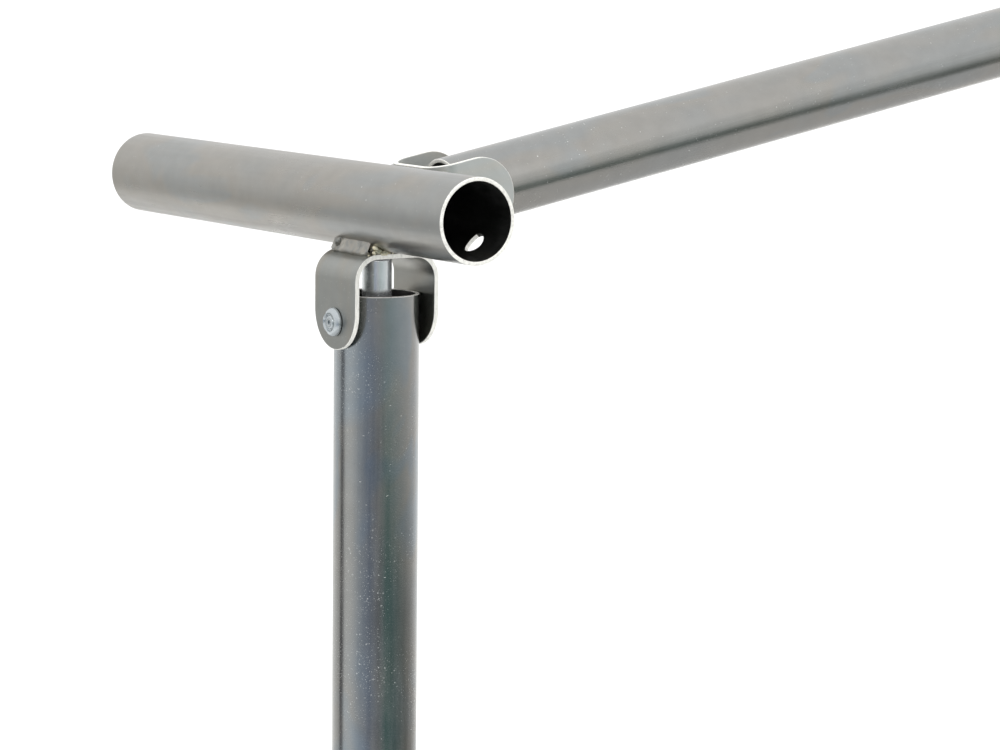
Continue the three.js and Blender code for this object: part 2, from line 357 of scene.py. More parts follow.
@dataclass(frozen=True)
class ZincPlate:
    """Zinc plate on steel, with drawn lines, a thin tinted film, specks and short nicks."""

    name: str
    base: tuple[float, float, float]
    film: float
    smooth: float
    rough: float
    grain: tuple[float, float, float]
    lines: float
    dots: float
    metal: float = 1.0

    def tone(self, g: Graph) -> Socket:
        """Gives the plate's colour before wear.

        Args:
            g: the graph to build in.

        Returns:
            The colour.
        """
        film = g.ramp(g.noise(30.0, 2.0, (1, 1, 0.5), 0.8), (
            (0.30, shade(self.base, 0.97, -0.04)), (0.42, shade(self.base, 1.0, 0.05)),
            (0.50, shade(self.base, 1.0, 0.09)), (0.58, shade(self.base, 0.98, -0.10)),
            (0.72, shade(self.base, 1.02, 0.02)),
        ))
        tone = g.blend(self.film, self.base, film)
        cloud = g.ramp(g.noise(170.0, 5.0), ((0.3, (0.93,) * 3), (0.7, (1.0,) * 3)))
        return g.blend(1.0, tone, cloud, "MULTIPLY")

    def marks(self, g: Graph) -> Socket:
        """Gives the bright specks and nicks.

        Args:
            g: the graph to build in.

        Returns:
            0 on clean plate, up to 1 on a mark.
        """
        crowd = g.band(g.noise(24.0, 3.0), 0.42, 0.62, 0.15, 1.0)
        dots = g.specks(520.0, 0.17, self.dots)
        fine = g.math("MULTIPLY", g.specks(1150.0, 0.21, self.dots * 1.6), 0.7)
        nicks = g.math("MULTIPLY", g.specks(150.0, 0.07, self.dots, (1.0, 1.0, 4.5)), 0.9)
        drag = g.math("MULTIPLY", g.specks(110.0, 0.045, self.dots * 0.6, (5.0, 5.0, 0.9)), 0.6)
        points = g.math("MULTIPLY", g.math("MAXIMUM", dots, fine), crowd)
        return g.math("MAXIMUM", points, g.math("MAXIMUM", nicks, drag))

    def make(self) -> Material:
        """Builds the finish and returns its material."""
        g = Graph(self.name)
        marks = self.marks(g)
        tone = g.blend(g.math("MULTIPLY", marks, 0.8), self.tone(g), (0.93, 0.94, 0.92))
        drawn = g.noise(620.0, 3.0, self.grain)
        gloss = g.band(g.noise(48.0, 6.0, (1, 1, 0.5)), 0.3, 0.7, self.smooth, self.rough)
        gloss = g.math("ADD", gloss, g.band(drawn, 0.35, 0.75, -0.02, 0.05))
        gloss = g.math("ADD", gloss, g.math("MULTIPLY", marks, 0.3))
        height = g.math("ADD", g.math("MULTIPLY", drawn, self.lines),
                        g.math("MULTIPLY", g.noise(2400.0, 3.0), 0.35))
        g.bump(g.math("SUBTRACT", height, g.math("MULTIPLY", marks, 0.6)), 0.00004)
        return g.wear({"Base Color": tone, "Metallic": self.metal, "Roughness": gloss})


@dataclass(frozen=True)
class CutSteel:
    """A sawn or sheared edge: bare steel, matte and striated, its pale tone raised further as a painted
    highlight.
    """

    name: str = "cut_edge_painted_highlight"
    # Pale bare steel, lightened beyond its own tone as a painted highlight on the edges.
    base: tuple[float, float, float] = (0.90, 0.89, 0.84)

    def make(self) -> Material:
        """Builds the finish and returns its material."""
        g = Graph(self.name)
        streak = g.noise(900.0, 3.0, (1, 1, 0.25))
        tone = g.ramp(g.band(streak, 0.3, 0.7), (
            (0.0, shade(self.base, 0.82)), (0.5, self.base), (1.0, shade(self.base, 1.08))))
        pits = g.specks(700.0, 0.22, 0.3)
        tone = g.blend(g.math("MULTIPLY", pits, 0.3), tone, (0.4, 0.39, 0.34))
        g.bump(g.math("SUBTRACT", streak, pits), 0.00008)
        gloss = g.gloss(300.0, 4.0, 0.42, 0.6)
        return g.wear({"Base Color": tone, "Metallic": 0.45, "Roughness": gloss})


@dataclass(frozen=True)
class TubeBore:
    """The dull inside of a tube: near-black, as painted shade in the bore."""

    name: str = "tube_bore_painted_shade"
    # Near-black tone: painted shade where the bore falls into shadow.
    base: tuple[float, float, float] = (0.10, 0.10, 0.095)

    def make(self) -> Material:
        """Builds the finish and returns its material."""
        g = Graph(self.name)
        tone = g.ramp(g.noise(90.0, 5.0, (1, 1, 0.2)), (
            (0.3, shade(self.base, 0.5)), (0.6, self.base), (0.8, shade(self.base, 1.5, 0.15))))
        g.bump(g.noise(700.0, 4.0, (1, 1, 0.1)), 0.00006)
        gloss = g.gloss(160.0, 3.0, 0.45, 0.7)
        return g.wear({"Base Color": tone, "Metallic": 1.0, "Roughness": gloss})


@dataclass(frozen=True)
class WeldMetal:
    """Weld under zinc: satin ripples with a yellowish film and a few black slag spots."""

    name: str = "weld_bead"
    base: tuple[float, float, float] = (0.34, 0.34, 0.32)
    bright: tuple[float, float, float] = (0.46, 0.46, 0.42)
    slag: float = 0.10

    def make(self) -> Material:
        """Builds the finish and returns its material."""
        g = Graph(self.name)
        tone = g.ramp(g.noise(260.0, 3.0, (1, 1, 1), 0.5), (
            (0.32, shade(self.base, 0.72)), (0.46, self.base),
            (0.58, shade(self.base, 1.08, 0.06)), (0.72, self.bright)))
        slag = g.specks(520.0, 0.34, self.slag)
        tone = g.blend(slag, tone, (0.015, 0.014, 0.01))
        g.bump(g.math("SUBTRACT", g.noise(1100.0, 4.0), slag), 0.00007)
        gloss = g.gloss(500.0, 3.0, 0.26, 0.46)
        return g.wear({"Base Color": tone, "Metallic": 1.0, "Roughness": gloss})


@dataclass(frozen=True)
class Moulding:
    """Moulded plastic with a fine spark-eroded grain and handling scuffs."""

    name: str
    base: tuple[float, float, float]
    smooth: float
    rough: float

    def make(self) -> Material:
        """Builds the finish and returns its material."""
        g = Graph(self.name)
        tone = g.ramp(g.noise(70.0, 5.0), (
            (0.35, shade(self.base, 0.85)), (0.6, self.base), (0.8, shade(self.base, 1.25, 0.02))))
        scuff = g.scratches(70.0, (1.0, 0.3, 1.0), 0.004)
        tone = g.blend(g.math("MULTIPLY", scuff, 0.35), tone, shade(self.base, 3.5))
        grain = g.noise(3200.0, 2.0)
        g.bump(g.math("ADD", grain, g.noise(900.0, 3.0)), 0.00005)
        gloss = g.gloss(120.0, 4.0, self.smooth, self.rough)
        return g.wear({"Base Color": tone, "Roughness": gloss, "IOR": 1.49})


@dataclass(frozen=True)
class FloorPaint:
    """A pale studio floor with a faint even mottle."""

    name: str = "studio_floor"

    def make(self) -> Material:
        """Builds the finish and returns its material."""
        g = Graph(self.name)
        tone = g.ramp(g.noise(0.8, 4.0), ((0.3, (0.86, 0.86, 0.86)), (0.7, (0.88, 0.88, 0.875))))
        gloss = g.gloss(3.0, 3.0, 0.75, 0.85)
        return g.wear({"Base Color": tone, "Roughness": gloss, "Specular IOR Level": 0.2})


class Finishes:
    """Every material of the stand, made once."""

    def __init__(self) -> None:
        """Builds each finish."""
        along, even = (1.0, 1.0, 0.04), (1.0, 0.25, 1.0)
        grey, warm, pale = (0.385, 0.40, 0.405), (0.385, 0.38, 0.36), (0.58, 0.58, 0.55)
        rail, strap = (0.40, 0.40, 0.385), (0.375, 0.375, 0.35)
        blue, white = (0.54, 0.59, 0.62), (0.94, 0.96, 0.97)
        self.bright = ZincPlate("bright_zinc", grey, 0.55, 0.17, 0.25, along, 0.5, 0.55).make()
        self.drawn = ZincPlate("drawn_zinc", rail, 0.3, 0.18, 0.26, along, 0.5, 0.05).make()
        self.satin = ZincPlate("satin_zinc", warm, 0.35, 0.27, 0.34, along, 0.5, 0.03).make()
        self.strap = ZincPlate("strap_zinc", strap, 0.3, 0.28, 0.36, even, 0.5, 0.03).make()
        # Paler, less metallic copy of the strap finish for the rail clevis: painted light, standing in
        # for the brighter reflection that its ears catch.
        self.strap_painted_light = ZincPlate("pale_strap_zinc", pale, 0.3, 0.3, 0.38, even, 0.5, 0.03, 0.8).make()
        self.bolt = ZincPlate("bolt_zinc", blue, 0.2, 0.24, 0.30, even, 0.3, 0.01, 0.9).make()
        # Near-white base and lowered metallic on the stub pin: ground steel's pale tone, raised further
        # as a painted sheen that stands in for its bright reflections.
        self.ground = ZincPlate("ground_pin", white, 0.2, 0.13, 0.2, along, 0.4, 0.1, 0.75).make()
        self.cut = CutSteel().make()
        self.bore = TubeBore().make()
        self.weld = WeldMetal().make()
        # Spatter drops are pale, and their brightest tone is a painted glint that stands in for
        # highlights on the small beads.
        drops, painted_glint = (0.66, 0.64, 0.50), (0.95, 0.93, 0.78)
        self.spatter = WeldMetal("weld_spatter", drops, painted_glint, 0.22).make()
        self.plastic = Moulding("black_moulding", (0.018, 0.018, 0.020), 0.38, 0.52).make()
        self.nylon = Moulding("natural_nylon", (0.68, 0.66, 0.60), 0.35, 0.45).make()

    def tube_set(self, skin: Material) -> tuple[Material, ...]:
        """Gives a tube's three materials, in the order of Surface."""
        return skin, self.cut, self.bore


# ---- mesh building ----------------------------------------------------------------------


def circle(radius: float, height: float, sides: int) -> Ring:
    """Gives a ring of points about Z.

    Args:
        radius: its radius.
        height: its height.
        sides: number of points.

    Returns:
        The points, anticlockwise from +X.
    """
    turn = math.tau / sides
    return [Vector((radius * math.cos(turn * i), radius * math.sin(turn * i), height))
            for i in range(sides)]


def rounded(points: Sequence[Point], radius: float, steps: int = 4, closed: bool = True) -> list[Point]:
    """Rounds the corners of an outline.

    Args:
        points: corner points in order.
        radius: fillet radius, made smaller where an edge is short.
        steps: segments in each fillet.
        closed: whether the outline returns to its start.

    Returns:
        The points with fillets.
    """
    out: list[Point] = []
    count = len(points)
    for i, corner in enumerate(points):
        if not closed and i in (0, count - 1):
            out.append(corner)
            continue
        here = Vector(corner)
        back = Vector(points[i - 1]) - here
        ahead = Vector(points[(i + 1) % count]) - here
        half = back.angle(ahead) / 2
        reach = min(radius / math.tan(half), back.length * 0.45, ahead.length * 0.45)
        start = here + back.normalized() * reach
        end = here + ahead.normalized() * reach
        for k in range(steps + 1):
            t = k / steps
            mid = start * (1 - t) ** 2 + here * 2 * t * (1 - t) + end * t ** 2
            out.append((mid.x, mid.y))
    return out


def quarter(radius: float, steps: int) -> list[Point]:
    """Gives the points of a quarter-round edge.

    Args:
        radius: its radius.
        steps: number of segments.

    Returns:
        [inset, rise] points, from the flat face's rim to the full side.
    """
    turns = (math.pi / 2 * k / steps for k in range(steps + 1))
    return [(radius * (1 - math.sin(a)), radius * (1 - math.cos(a))) for a in turns]


class Piece:
    """A mesh under construction, with the calls that turn it into a finished object."""

    def __init__(self, name: str, vertices: Sequence[Vector], faces: Sequence[Sequence[int]]) -> None:
        """Makes the object.

        Args:
            name: the piece's name.
            vertices: points in millimetres.
            faces: vertex indices of each face.
        """
        mesh = bpy.data.meshes.new(name)
        mesh.from_pydata([tuple(v * MM) for v in vertices], [], [tuple(f) for f in faces])
        mesh.validate()
        self.object = bpy.data.objects.new(name, mesh)
        bpy.context.scene.collection.objects.link(self.object)

    @classmethod
    def skin(cls, name: str, rings: Sequence[Ring], loop: bool = False) -> "Piece":
        """Skins equal rings one after another.

        Args:
            name: the piece's name.
            rings: rings of points, each with as many points.
            loop: joins the last ring to the first; otherwise both ends are closed.

        Returns:
            The piece.
        """
        count = len(rings[0])
        vertices = [point for ring in rings for point in ring]
        faces = []
        spans = len(rings) if loop else len(rings) - 1
        for i in range(spans):
            low, high = i * count, ((i + 1) % len(rings)) * count
            for k in range(count):
                n = (k + 1) % count
                faces.append((low + k, low + n, high + n, high + k))
        if not loop:
            last = (len(rings) - 1) * count
            for ring, start, flip in ((rings[0], 0, True), (rings[-1], last, False)):
                hub = len(vertices)
                vertices.append(sum(ring, Vector()) / count)
                for k in range(count):
                    a, b = start + k, start + (k + 1) % count
                    faces.append((b, a, hub) if flip else (a, b, hub))
        return cls(name, vertices, faces)

    @classmethod
    def turned(cls, name: str, outline: Sequence[Point], sides: int,
               loop: bool = False) -> "Piece":
        """Turns an outline about Z.

        Args:
            name: the piece's name.
            outline: [radius, height] points, upwards on the outside.
            sides: number of sides.
            loop: whether the outline is closed, as a tube's is.

        Returns:
            The piece.
        """
        return cls.skin(name, [circle(r, z, sides) for r, z in outline], loop)

    def apply(self, kind: str, **settings: object) -> "Piece":
        """Applies a modifier to the mesh.

        Args:
            kind: the modifier's type.
            **settings: its settings.

        Returns:
            This piece.
        """
        modifier = self.object.modifiers.new(kind, kind)
        for key, value in settings.items():
            setattr(modifier, key, value)
        graph = bpy.context.evaluated_depsgraph_get()
        result = bpy.data.meshes.new_from_object(self.object.evaluated_get(graph))
        self.object.modifiers.remove(modifier)
        old = self.object.data
        self.object.data = result
        bpy.data.meshes.remove(old)
        return self

    def combine(self, kind: str, *tools: "Piece") -> "Piece":
        """Cuts or joins other pieces, which are used up.

        Args:
            kind: DIFFERENCE or UNION.
            *tools: the other pieces.

        Returns:
            This piece.
        """
        for tool in tools:
            self.apply("BOOLEAN", operation=kind, object=tool.object, solver="EXACT")
            bpy.data.objects.remove(tool.object)
        return self

    def place(self, matrix: Matrix) -> "Piece":
        """Sets where the piece sits, in metres, and returns it."""
        self.object.matrix_world = matrix
        return self

    def reshape(self, move: Matrix) -> "Piece":
        """Moves the points within the piece's own frame, in metres, and returns it."""
        self.object.data.transform(move)
        return self

    def dress(self, materials: Sequence[Material],
              chooser: Callable[[Vector, Vector], Surface] | None = None,
              crease: float = 38.0) -> "Piece":
        """Gives the piece its materials and smooth shading.

        Args:
            materials: one for each Surface used.
            chooser: picks a Surface from a face's normal and centre in millimetres.
            crease: angle in degrees past which an edge stays sharp.

        Returns:
            This piece.
        """
        mesh = self.object.data
        mesh.materials.clear()
        for material in materials:
            mesh.materials.append(material)
        for polygon in mesh.polygons:
            polygon.use_smooth = True
            polygon.material_index = 0
            if chooser:
                polygon.material_index = chooser(polygon.normal, polygon.center / MM).value
        mesh.set_sharp_from_angle(angle=math.radians(crease))
        self.apply("WEIGHTED_NORMAL", weight=100, keep_sharp=True)
        return self

    def mount(self, body: str, slot: Slot, *nodes: str) -> "Piece":
        """Rides the piece on its body in place of the CAD nodes it stands for.

        Args:
            body: the body's name.
            slot: the record's material slot; not used.
            *nodes: the CAD nodes that it replaces.

        Returns:
            This piece.
        """
        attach(self.object, body)
        if nodes:
            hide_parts(*nodes)
        faces = len(self.object.data.polygons)
        LOG.info("%s rides on %s, %d faces", self.object.name, body, faces)
        return self


def tube_faces(normal: Vector, centre: Vector) -> Surface:
    """Tells a tube's cut ends and bore from its outside.

    Args:
        normal: the face's normal.
        centre: the face's centre.

    Returns:
        The surface that the face belongs to.
    """
    if abs(normal.z) > 0.5:
        return Surface.CUT
    inward = normal.x * centre.x + normal.y * centre.y < 0
    return Surface.BORE if inward else Surface.SKIN


def rod(radius: float, low: float, high: float, sides: int = 48) -> Piece:
    """Makes a plain drill used up by a cut, from low to high along Z."""
    return Piece.turned("drill", [(radius, low), (radius, high)], sides)


def bolt_drill(height: float, turn: Matrix) -> Piece:
    """Makes the drill for a bolt hole, crossing Z at a height, turned from Z."""
    return rod(BOLT_HOLE, -DRILL_HALF, DRILL_HALF).reshape(shift(z=height) @ turn)


def tube(name: str, outer: float, wall: float, low: float, high: float,
         edge: float = 0.35, sides: int = 128) -> Piece:
    """Makes a sawn tube along Z with softened ends.

    Args:
        name: the piece's name.
        outer: outer radius.
        wall: wall thickness.
        low: lower end.
        high: upper end.
        edge: rounding of the cut edges.
        sides: number of sides.

    Returns:
        The tube.
    """
    inner = outer - wall
    corners = [(outer, low), (outer, high), (inner, high), (inner, low)]
    return Piece.turned(name, rounded(corners, edge), sides, loop=True)


def shift(x: float = 0.0, y: float = 0.0, z: float = 0.0) -> Matrix:
    """Gives a move in millimetres as a matrix in metres."""
    return Matrix.Translation(Vector((x, y, z)) * MM)


def spin(degrees: float, axis: str) -> Matrix:
    """Gives a turn about a named axis."""
    return Matrix.Rotation(math.radians(degrees), 4, axis)


ALONG_X = spin(90, "Y")
ALONG_Y = spin(-90, "X")


# ---- the frame of each end --------------------------------------------------------------


@dataclass(frozen=True)
class EndFrame:
    """Where one end of the stand is: its origin is where the post's and cross tube's axes meet."""

    side: Side
    post_pivot: float = 42.3

    @property
    def joints(self) -> dict[str, dict]:
        """Gives this end's joints by their short names."""
        start = f"{self.side.value}_"
        mine = [joint for joint in frame["joints"] if joint["name"].startswith(start)]
        return {joint["name"].removeprefix(start): joint for joint in mine}

    @property
    def matrix(self) -> Matrix:
        """Gives the end's frame: X towards the rail, Y along the cross tube, Z up the post."""
        joints = self.joints
        up = Vector(joints["height_slide"]["axis"]).normalized()
        inward = -Vector(joints["knob_turn"]["axis"]).normalized()
        across = up.cross(inward)
        origin = Vector(joints["head_rock"]["pos_m"]) + up * self.post_pivot * MM
        basis = Matrix((inward, across, up)).transposed().to_4x4()
        return Matrix.Translation(origin) @ basis

    @property
    def rail_hinge(self) -> Matrix:
        """Gives a level frame at the rail's hinge: X along the rail away from this end."""
        place = Matrix.Translation(Vector(self.joints["post_fold"]["pos_m"]))
        return place if self.side is Side.LEFT else place @ spin(180, "Z")

    @property
    def splay(self) -> float:
        """Gives the post's lean in degrees."""
        up = Vector(self.joints["height_slide"]["axis"])
        return math.degrees(math.atan2(abs(up.x), up.z))

    def name(self, part: str) -> str:
        """Names this end's body or CAD node of that part."""
        return f"{self.side.value}_{part}"


# ---- fasteners --------------------------------------------------------------------------


@dataclass(frozen=True)
class Fastener:
    """A domed hinge rivet-bolt with its hexagon nut, drawn along Z with its head on top."""

    shank: float = 3.0
    head: float = 5.4
    height: float = 2.9
    chamfer: float = 0.4
    rim: float = 0.55
    dome_sweep: float = 80.0
    dome_power: float = 0.9
    recess: float = 3.35
    recess_depth: float = 0.75
    pit: float = 0.85
    nut_flat: float = 4.8
    nut_height: float = 2.7
    washer: float = 9.0
    washer_half: float = 0.85

    def bolt(self, name: str, grip: float) -> Piece:
        """Makes the bolt with its seat at Z = 0.

        Args:
            name: the piece's name.
            grip: length of the shank below the seat.

        Returns:
            The bolt.
        """
        steps = 10
        floor = self.height - self.recess_depth
        turns = (math.radians(self.dome_sweep * k / steps) for k in range(steps + 1))
        dome = [(self.head * math.cos(turn),
                 self.rim + (self.height - self.rim) * math.sin(turn) ** self.dome_power)
                for turn in turns]
        crown = [point for point in dome if point[0] > self.recess + 0.25]
        outline = [(self.shank - self.chamfer, -grip), (self.shank, -grip + self.chamfer),
                   (self.shank, -0.1),
                   (self.head - 0.25, 0.0), (self.head, 0.2), *crown,
                   (self.recess + 0.2, self.height), (self.recess, self.height - 0.15),
                   (self.recess - 0.25, floor), (self.recess - 0.7, floor - 0.1),
                   (self.recess - 0.95, floor + 0.12), (self.recess - 1.3, floor + 0.34),
                   (self.pit + 0.35, floor + 0.46), (self.pit, floor + 0.3),
                   (self.pit - 0.15, floor - 0.6)]
        return Piece.turned(name, outline, 72)

    def nut(self, name: str) -> Piece:
        """Makes a chamfered hexagon nut with its seat at Z = 0 and the thread's end showing.

        Args:
            name: the piece's name.

        Returns:
            The nut.
        """
        sides = 96
        corner = self.nut_flat / math.cos(math.radians(30))
        limits = [(0.0, corner - 0.5), (0.35, corner), (self.nut_height - 0.7, corner),
                  (self.nut_height - 0.35, corner - 0.35), (self.nut_height, corner - 1.0)]
        rings = []
        for level, limit in limits:
            ring = []
            for i in range(sides):
                angle = math.tau * i / sides
                fold = (angle % math.radians(60)) - math.radians(30)
                reach = min(self.nut_flat / math.cos(fold), limit)
                ring.append(Vector((reach * math.cos(angle), reach * math.sin(angle), level)))
            rings.append(ring)
        thread = ((0.45, 0.0), (0.1, -0.4), (0.0, 0.1), (-0.4, 0.5))
        rings += [circle(self.shank + out, self.nut_height + rise, sides) for out, rise in thread]
        return Piece.skin(name, rings)

    def spacer(self, name: str) -> Piece:
        """Makes a flat washer centred on Z = 0.

        Args:
            name: the piece's name.

        Returns:
            The washer.
        """
        outer, half = self.washer, self.washer_half
        corners = [(outer, -half), (outer, half), (BOLT_HOLE, half), (BOLT_HOLE, -half)]
        return Piece.turned(name, rounded(corners, 0.3), 72, loop=True)


# ---- weld beads -------------------------------------------------------------------------


# [share of the bead's girth, depth] from the rim of an end's crater to its bottom
CRATER = ((0.93, -0.25), (0.78, -0.2), (0.62, 0.5), (0.45, 1.1), (0.2, 1.3))


@dataclass(frozen=True)
class WeldRun:
    """A hand-run weld bead: overlapping ripples, craters at its ends and drops beside it."""

    radius: float = 3.1
    face: float = 2.2
    pitch: float = 2.6
    ripple: float = 0.07
    pock_depth: float = 0.0
    pock_place: float = 0.86
    pock_size: float = 1.9
    seed: int = SEED

    def bead(self, name: str, route: Sequence[Vector], crown: Vector, keep: Callable[[Vector], Vector],
             closed: bool = False) -> Piece:
        """Lays a bead along a route.

        Args:
            name: the piece's name.
            route: evenly spaced points along the bead's middle.
            crown: roughly where the bead's face points.
            keep: moves a point back to where the bead may be.
            closed: whether the route returns to its start.

        Returns:
            The bead.
        """
        rng = random.Random(f"{self.seed}{name}")
        phase = rng.uniform(0, math.tau)
        around = 40
        rings = []
        total = 0.0
        count = len(route)
        length = sum((b - a).length for a, b in zip(route, route[1:]))
        for i, centre in enumerate(route):
            ahead = route[(i + 1) % count] if closed else route[min(i + 1, count - 1)]
            behind = route[i - 1] if closed or i else route[0]
            way = (ahead - behind).normalized()
            up = (crown - way * crown.dot(way)).normalized()
            across = way.cross(up)
            total += (ahead - behind).length / 2
            ends = 1.0 if closed else self.taper(i / (count - 1))
            ring = []
            for k in range(around):
                angle = math.tau * k / around
                lag = total / self.pitch + 0.6 * math.cos(angle) ** 2
                wave = abs(math.sin(math.pi * lag + phase)) ** 0.6
                wander = 0.03 * math.sin(total * 0.9 + phase) + 0.02 * math.sin(3 * angle + total)
                flat = self.face / max(math.cos(angle), self.face / self.radius)
                reach = flat * ends * (1 - self.ripple * (1 - wave) + wander)
                turn = (angle + math.pi) % math.tau - math.pi
                gap = math.hypot(total - self.pock_place * length, turn * self.radius)
                reach -= self.pock_depth * math.exp(-((gap / self.pock_size) ** 6))
                reach += 0.3 * self.pock_depth * math.exp(-(((gap - self.pock_size * 1.3) / 0.5) ** 2))
                offset = up * math.cos(angle) * reach + across * math.sin(angle) * reach
                ring.append(keep(centre + offset))
            rings.append(ring)
        if not closed:
            rings = self.crater(rings, True) + rings + self.crater(rings, False)
        return Piece.skin(name, rings, closed)

    @staticmethod
    def crater(rings: Sequence[Ring], first: bool) -> list[Ring]:
        """Closes a bead's end by a rim round a hollow.

        Args:
            rings: the bead's rings.
            first: the first end, otherwise the last.

        Returns:
            The extra rings, in the order that they join the bead.
        """
        edge = rings[0] if first else rings[-1]
        inner = rings[3] if first else rings[-4]
        middle = sum(edge, Vector()) / len(edge)
        inwards = (sum(inner, Vector()) / len(inner) - middle).normalized()
        extra = [[middle + (point - middle) * share + inwards * depth for point in edge]
                 for share, depth in CRATER]
        return extra[::-1] if first else extra

    @staticmethod
    def taper(share: float) -> float:
        """Narrows a bead at its start and stop, by its share of the length."""
        edge = min(share, 1 - share)
        return 0.62 + 0.38 * min(1.0, edge / 0.10) ** 0.5

    def drop(self, name: str, centre: Vector, size: float) -> Piece:
        """Makes one frozen drop of spatter.

        Args:
            name: the piece's name.
            centre: its middle.
            size: its radius.

        Returns:
            The drop.
        """
        rng = random.Random(f"{self.seed}{name}{centre.x:.2f}")
        sides, levels = 24, 12
        lumps = [rng.uniform(0.75, 1.2) for _ in range(4)]
        rings = []
        for j in range(levels):
            polar = math.pi * (j + 0.5) / levels
            ring = []
            for k in range(sides):
                turn = math.tau * k / sides
                lump = 1 + 0.16 * math.sin(2 * turn + lumps[0] * 9) * lumps[1]
                lump += 0.10 * math.sin(3 * turn + 5 * polar * lumps[2]) * lumps[3]
                reach = size * lump
                ring.append(centre + Vector((math.sin(polar) * math.cos(turn),
                                             math.sin(polar) * math.sin(turn),
                                             -math.cos(polar))) * reach)
            rings.append(ring)
        return Piece.skin(name, rings)


# ---- strap clevis -----------------------------------------------------------------------


@dataclass(frozen=True)
class StrapClevis:
    """A strap bent into a square-shouldered U; web across Z = 0, ears towards -Z, width along Y."""

    reach: float
    bolt_drop: float
    thickness: float = 2.0
    half_width: float = 14.5
    inner_half: float = 16.3
    bend: float = 10.0
    edge: float = 0.38

    @property
    def web_flat(self) -> float:
        """Gives half the flat stretch of the web."""
        return self.inner_half + self.thickness - self.bend

    @property
    def arc(self) -> float:
        """Gives the length of one bend along the middle of the strap."""
        return (self.bend - self.thickness / 2) * math.pi / 2

    @property
    def half_length(self) -> float:
        """Gives half the strap's flat length."""
        return self.web_flat + self.arc + self.reach - self.bend

    def bent(self, along: float, across: float, height: float) -> Vector:
        """Moves a point of the flat strap to its place on the bent one.

        Args:
            along: distance from the middle of the web.
            across: distance from the centre line.
            height: distance from the middle of the thickness, outwards.

        Returns:
            The bent place.
        """
        sign = 1 if along >= 0 else -1
        run = abs(along)
        middle = self.bend - self.thickness / 2
        if run <= self.web_flat:
            return Vector((along, across, height - self.thickness / 2))
        if run <= self.web_flat + self.arc:
            turn = (run - self.web_flat) / middle
            reach = middle + height
            return Vector((sign * (self.web_flat + reach * math.sin(turn)), across,
                           -self.bend + reach * math.cos(turn)))
        drop = run - self.web_flat - self.arc
        return Vector((sign * (self.web_flat + middle + height), across, -self.bend - drop))

    def stations(self, inset: float) -> list[Point]:
        """Gives one long side of the strap's outline, from tip to tip.

        Args:
            inset: how far inside the true outline.

        Returns:
            [along, across] points; across is 0 at the tips.
        """
        radius = self.half_width - inset
        centre = self.half_length - self.half_width
        arc_steps, bend_steps, flat_steps = 18, 14, 6
        quarter = [(centre + radius * math.sin(a), radius * math.cos(a))
                   for a in (math.pi / 2 * k / arc_steps for k in range(1, arc_steps + 1))]
        start = self.web_flat
        stop = min(start + self.arc, centre)
        flats = [start * k / flat_steps for k in range(1, flat_steps)]
        bends = [start + (stop - start) * k / bend_steps for k in range(bend_steps + 1)]
        rest = [centre] if centre > stop + 0.01 else []
        positive = [(s, radius) for s in flats + bends + rest] + quarter
        negative = [(-s, w) for s, w in reversed(positive)]
        return negative + [(0.0, radius)] + positive

    def build(self, name: str) -> Piece:
        """Makes the clevis with its two bolt holes.

        Args:
            name: the piece's name.

        Returns:
            The clevis.
        """
        steps = 4
        half = self.thickness / 2
        levels = [(inset, rise - half) for inset, rise in quarter(self.edge, steps)]
        levels += [(inset, -height) for inset, height in reversed(levels)]
        vertices: list[Vector] = []
        faces: list[tuple[int, ...]] = []
        count = 0
        for inset, height in levels:
            right = self.stations(inset)
            outline = right + [(s, -w) for s, w in reversed(right[1:-1])]
            count = len(outline)
            vertices += [self.bent(s, w, height) for s, w in outline]
        for level in range(len(levels) - 1):
            low, high = level * count, (level + 1) * count
            for k in range(count):
                n = (k + 1) % count
                faces.append((low + n, low + k, high + k, high + n))
        tips = len(self.stations(0.0)) - 1
        top = (len(levels) - 1) * count
        for base, flip in ((0, False), (top, True)):
            for k in range(tips):
                left, left_next = (count - k) % count, count - k - 1
                corners = [base + k, base + k + 1, base + left_next, base + left]
                corners = list(dict.fromkeys(corners))
                faces.append(tuple(reversed(corners)) if flip else tuple(corners))
        piece = Piece(name, vertices, faces)
        return piece.combine("DIFFERENCE", bolt_drill(-self.bolt_drop, ALONG_X))

    def face(self, normal: Vector, centre: Vector) -> Surface:
        """Tells the sheared edge from the flat faces.

        Args:
            normal: the face's normal.
            centre: the face's centre.

        Returns:
            The surface that the face belongs to.
        """
        if abs(normal.y) > 0.6:
            return Surface.CUT
        outline_end = centre.z < -self.reach + self.half_width
        return Surface.CUT if outline_end and normal.z < -0.5 else Surface.SKIN


# ---- head -------------------------------------------------------------------------------


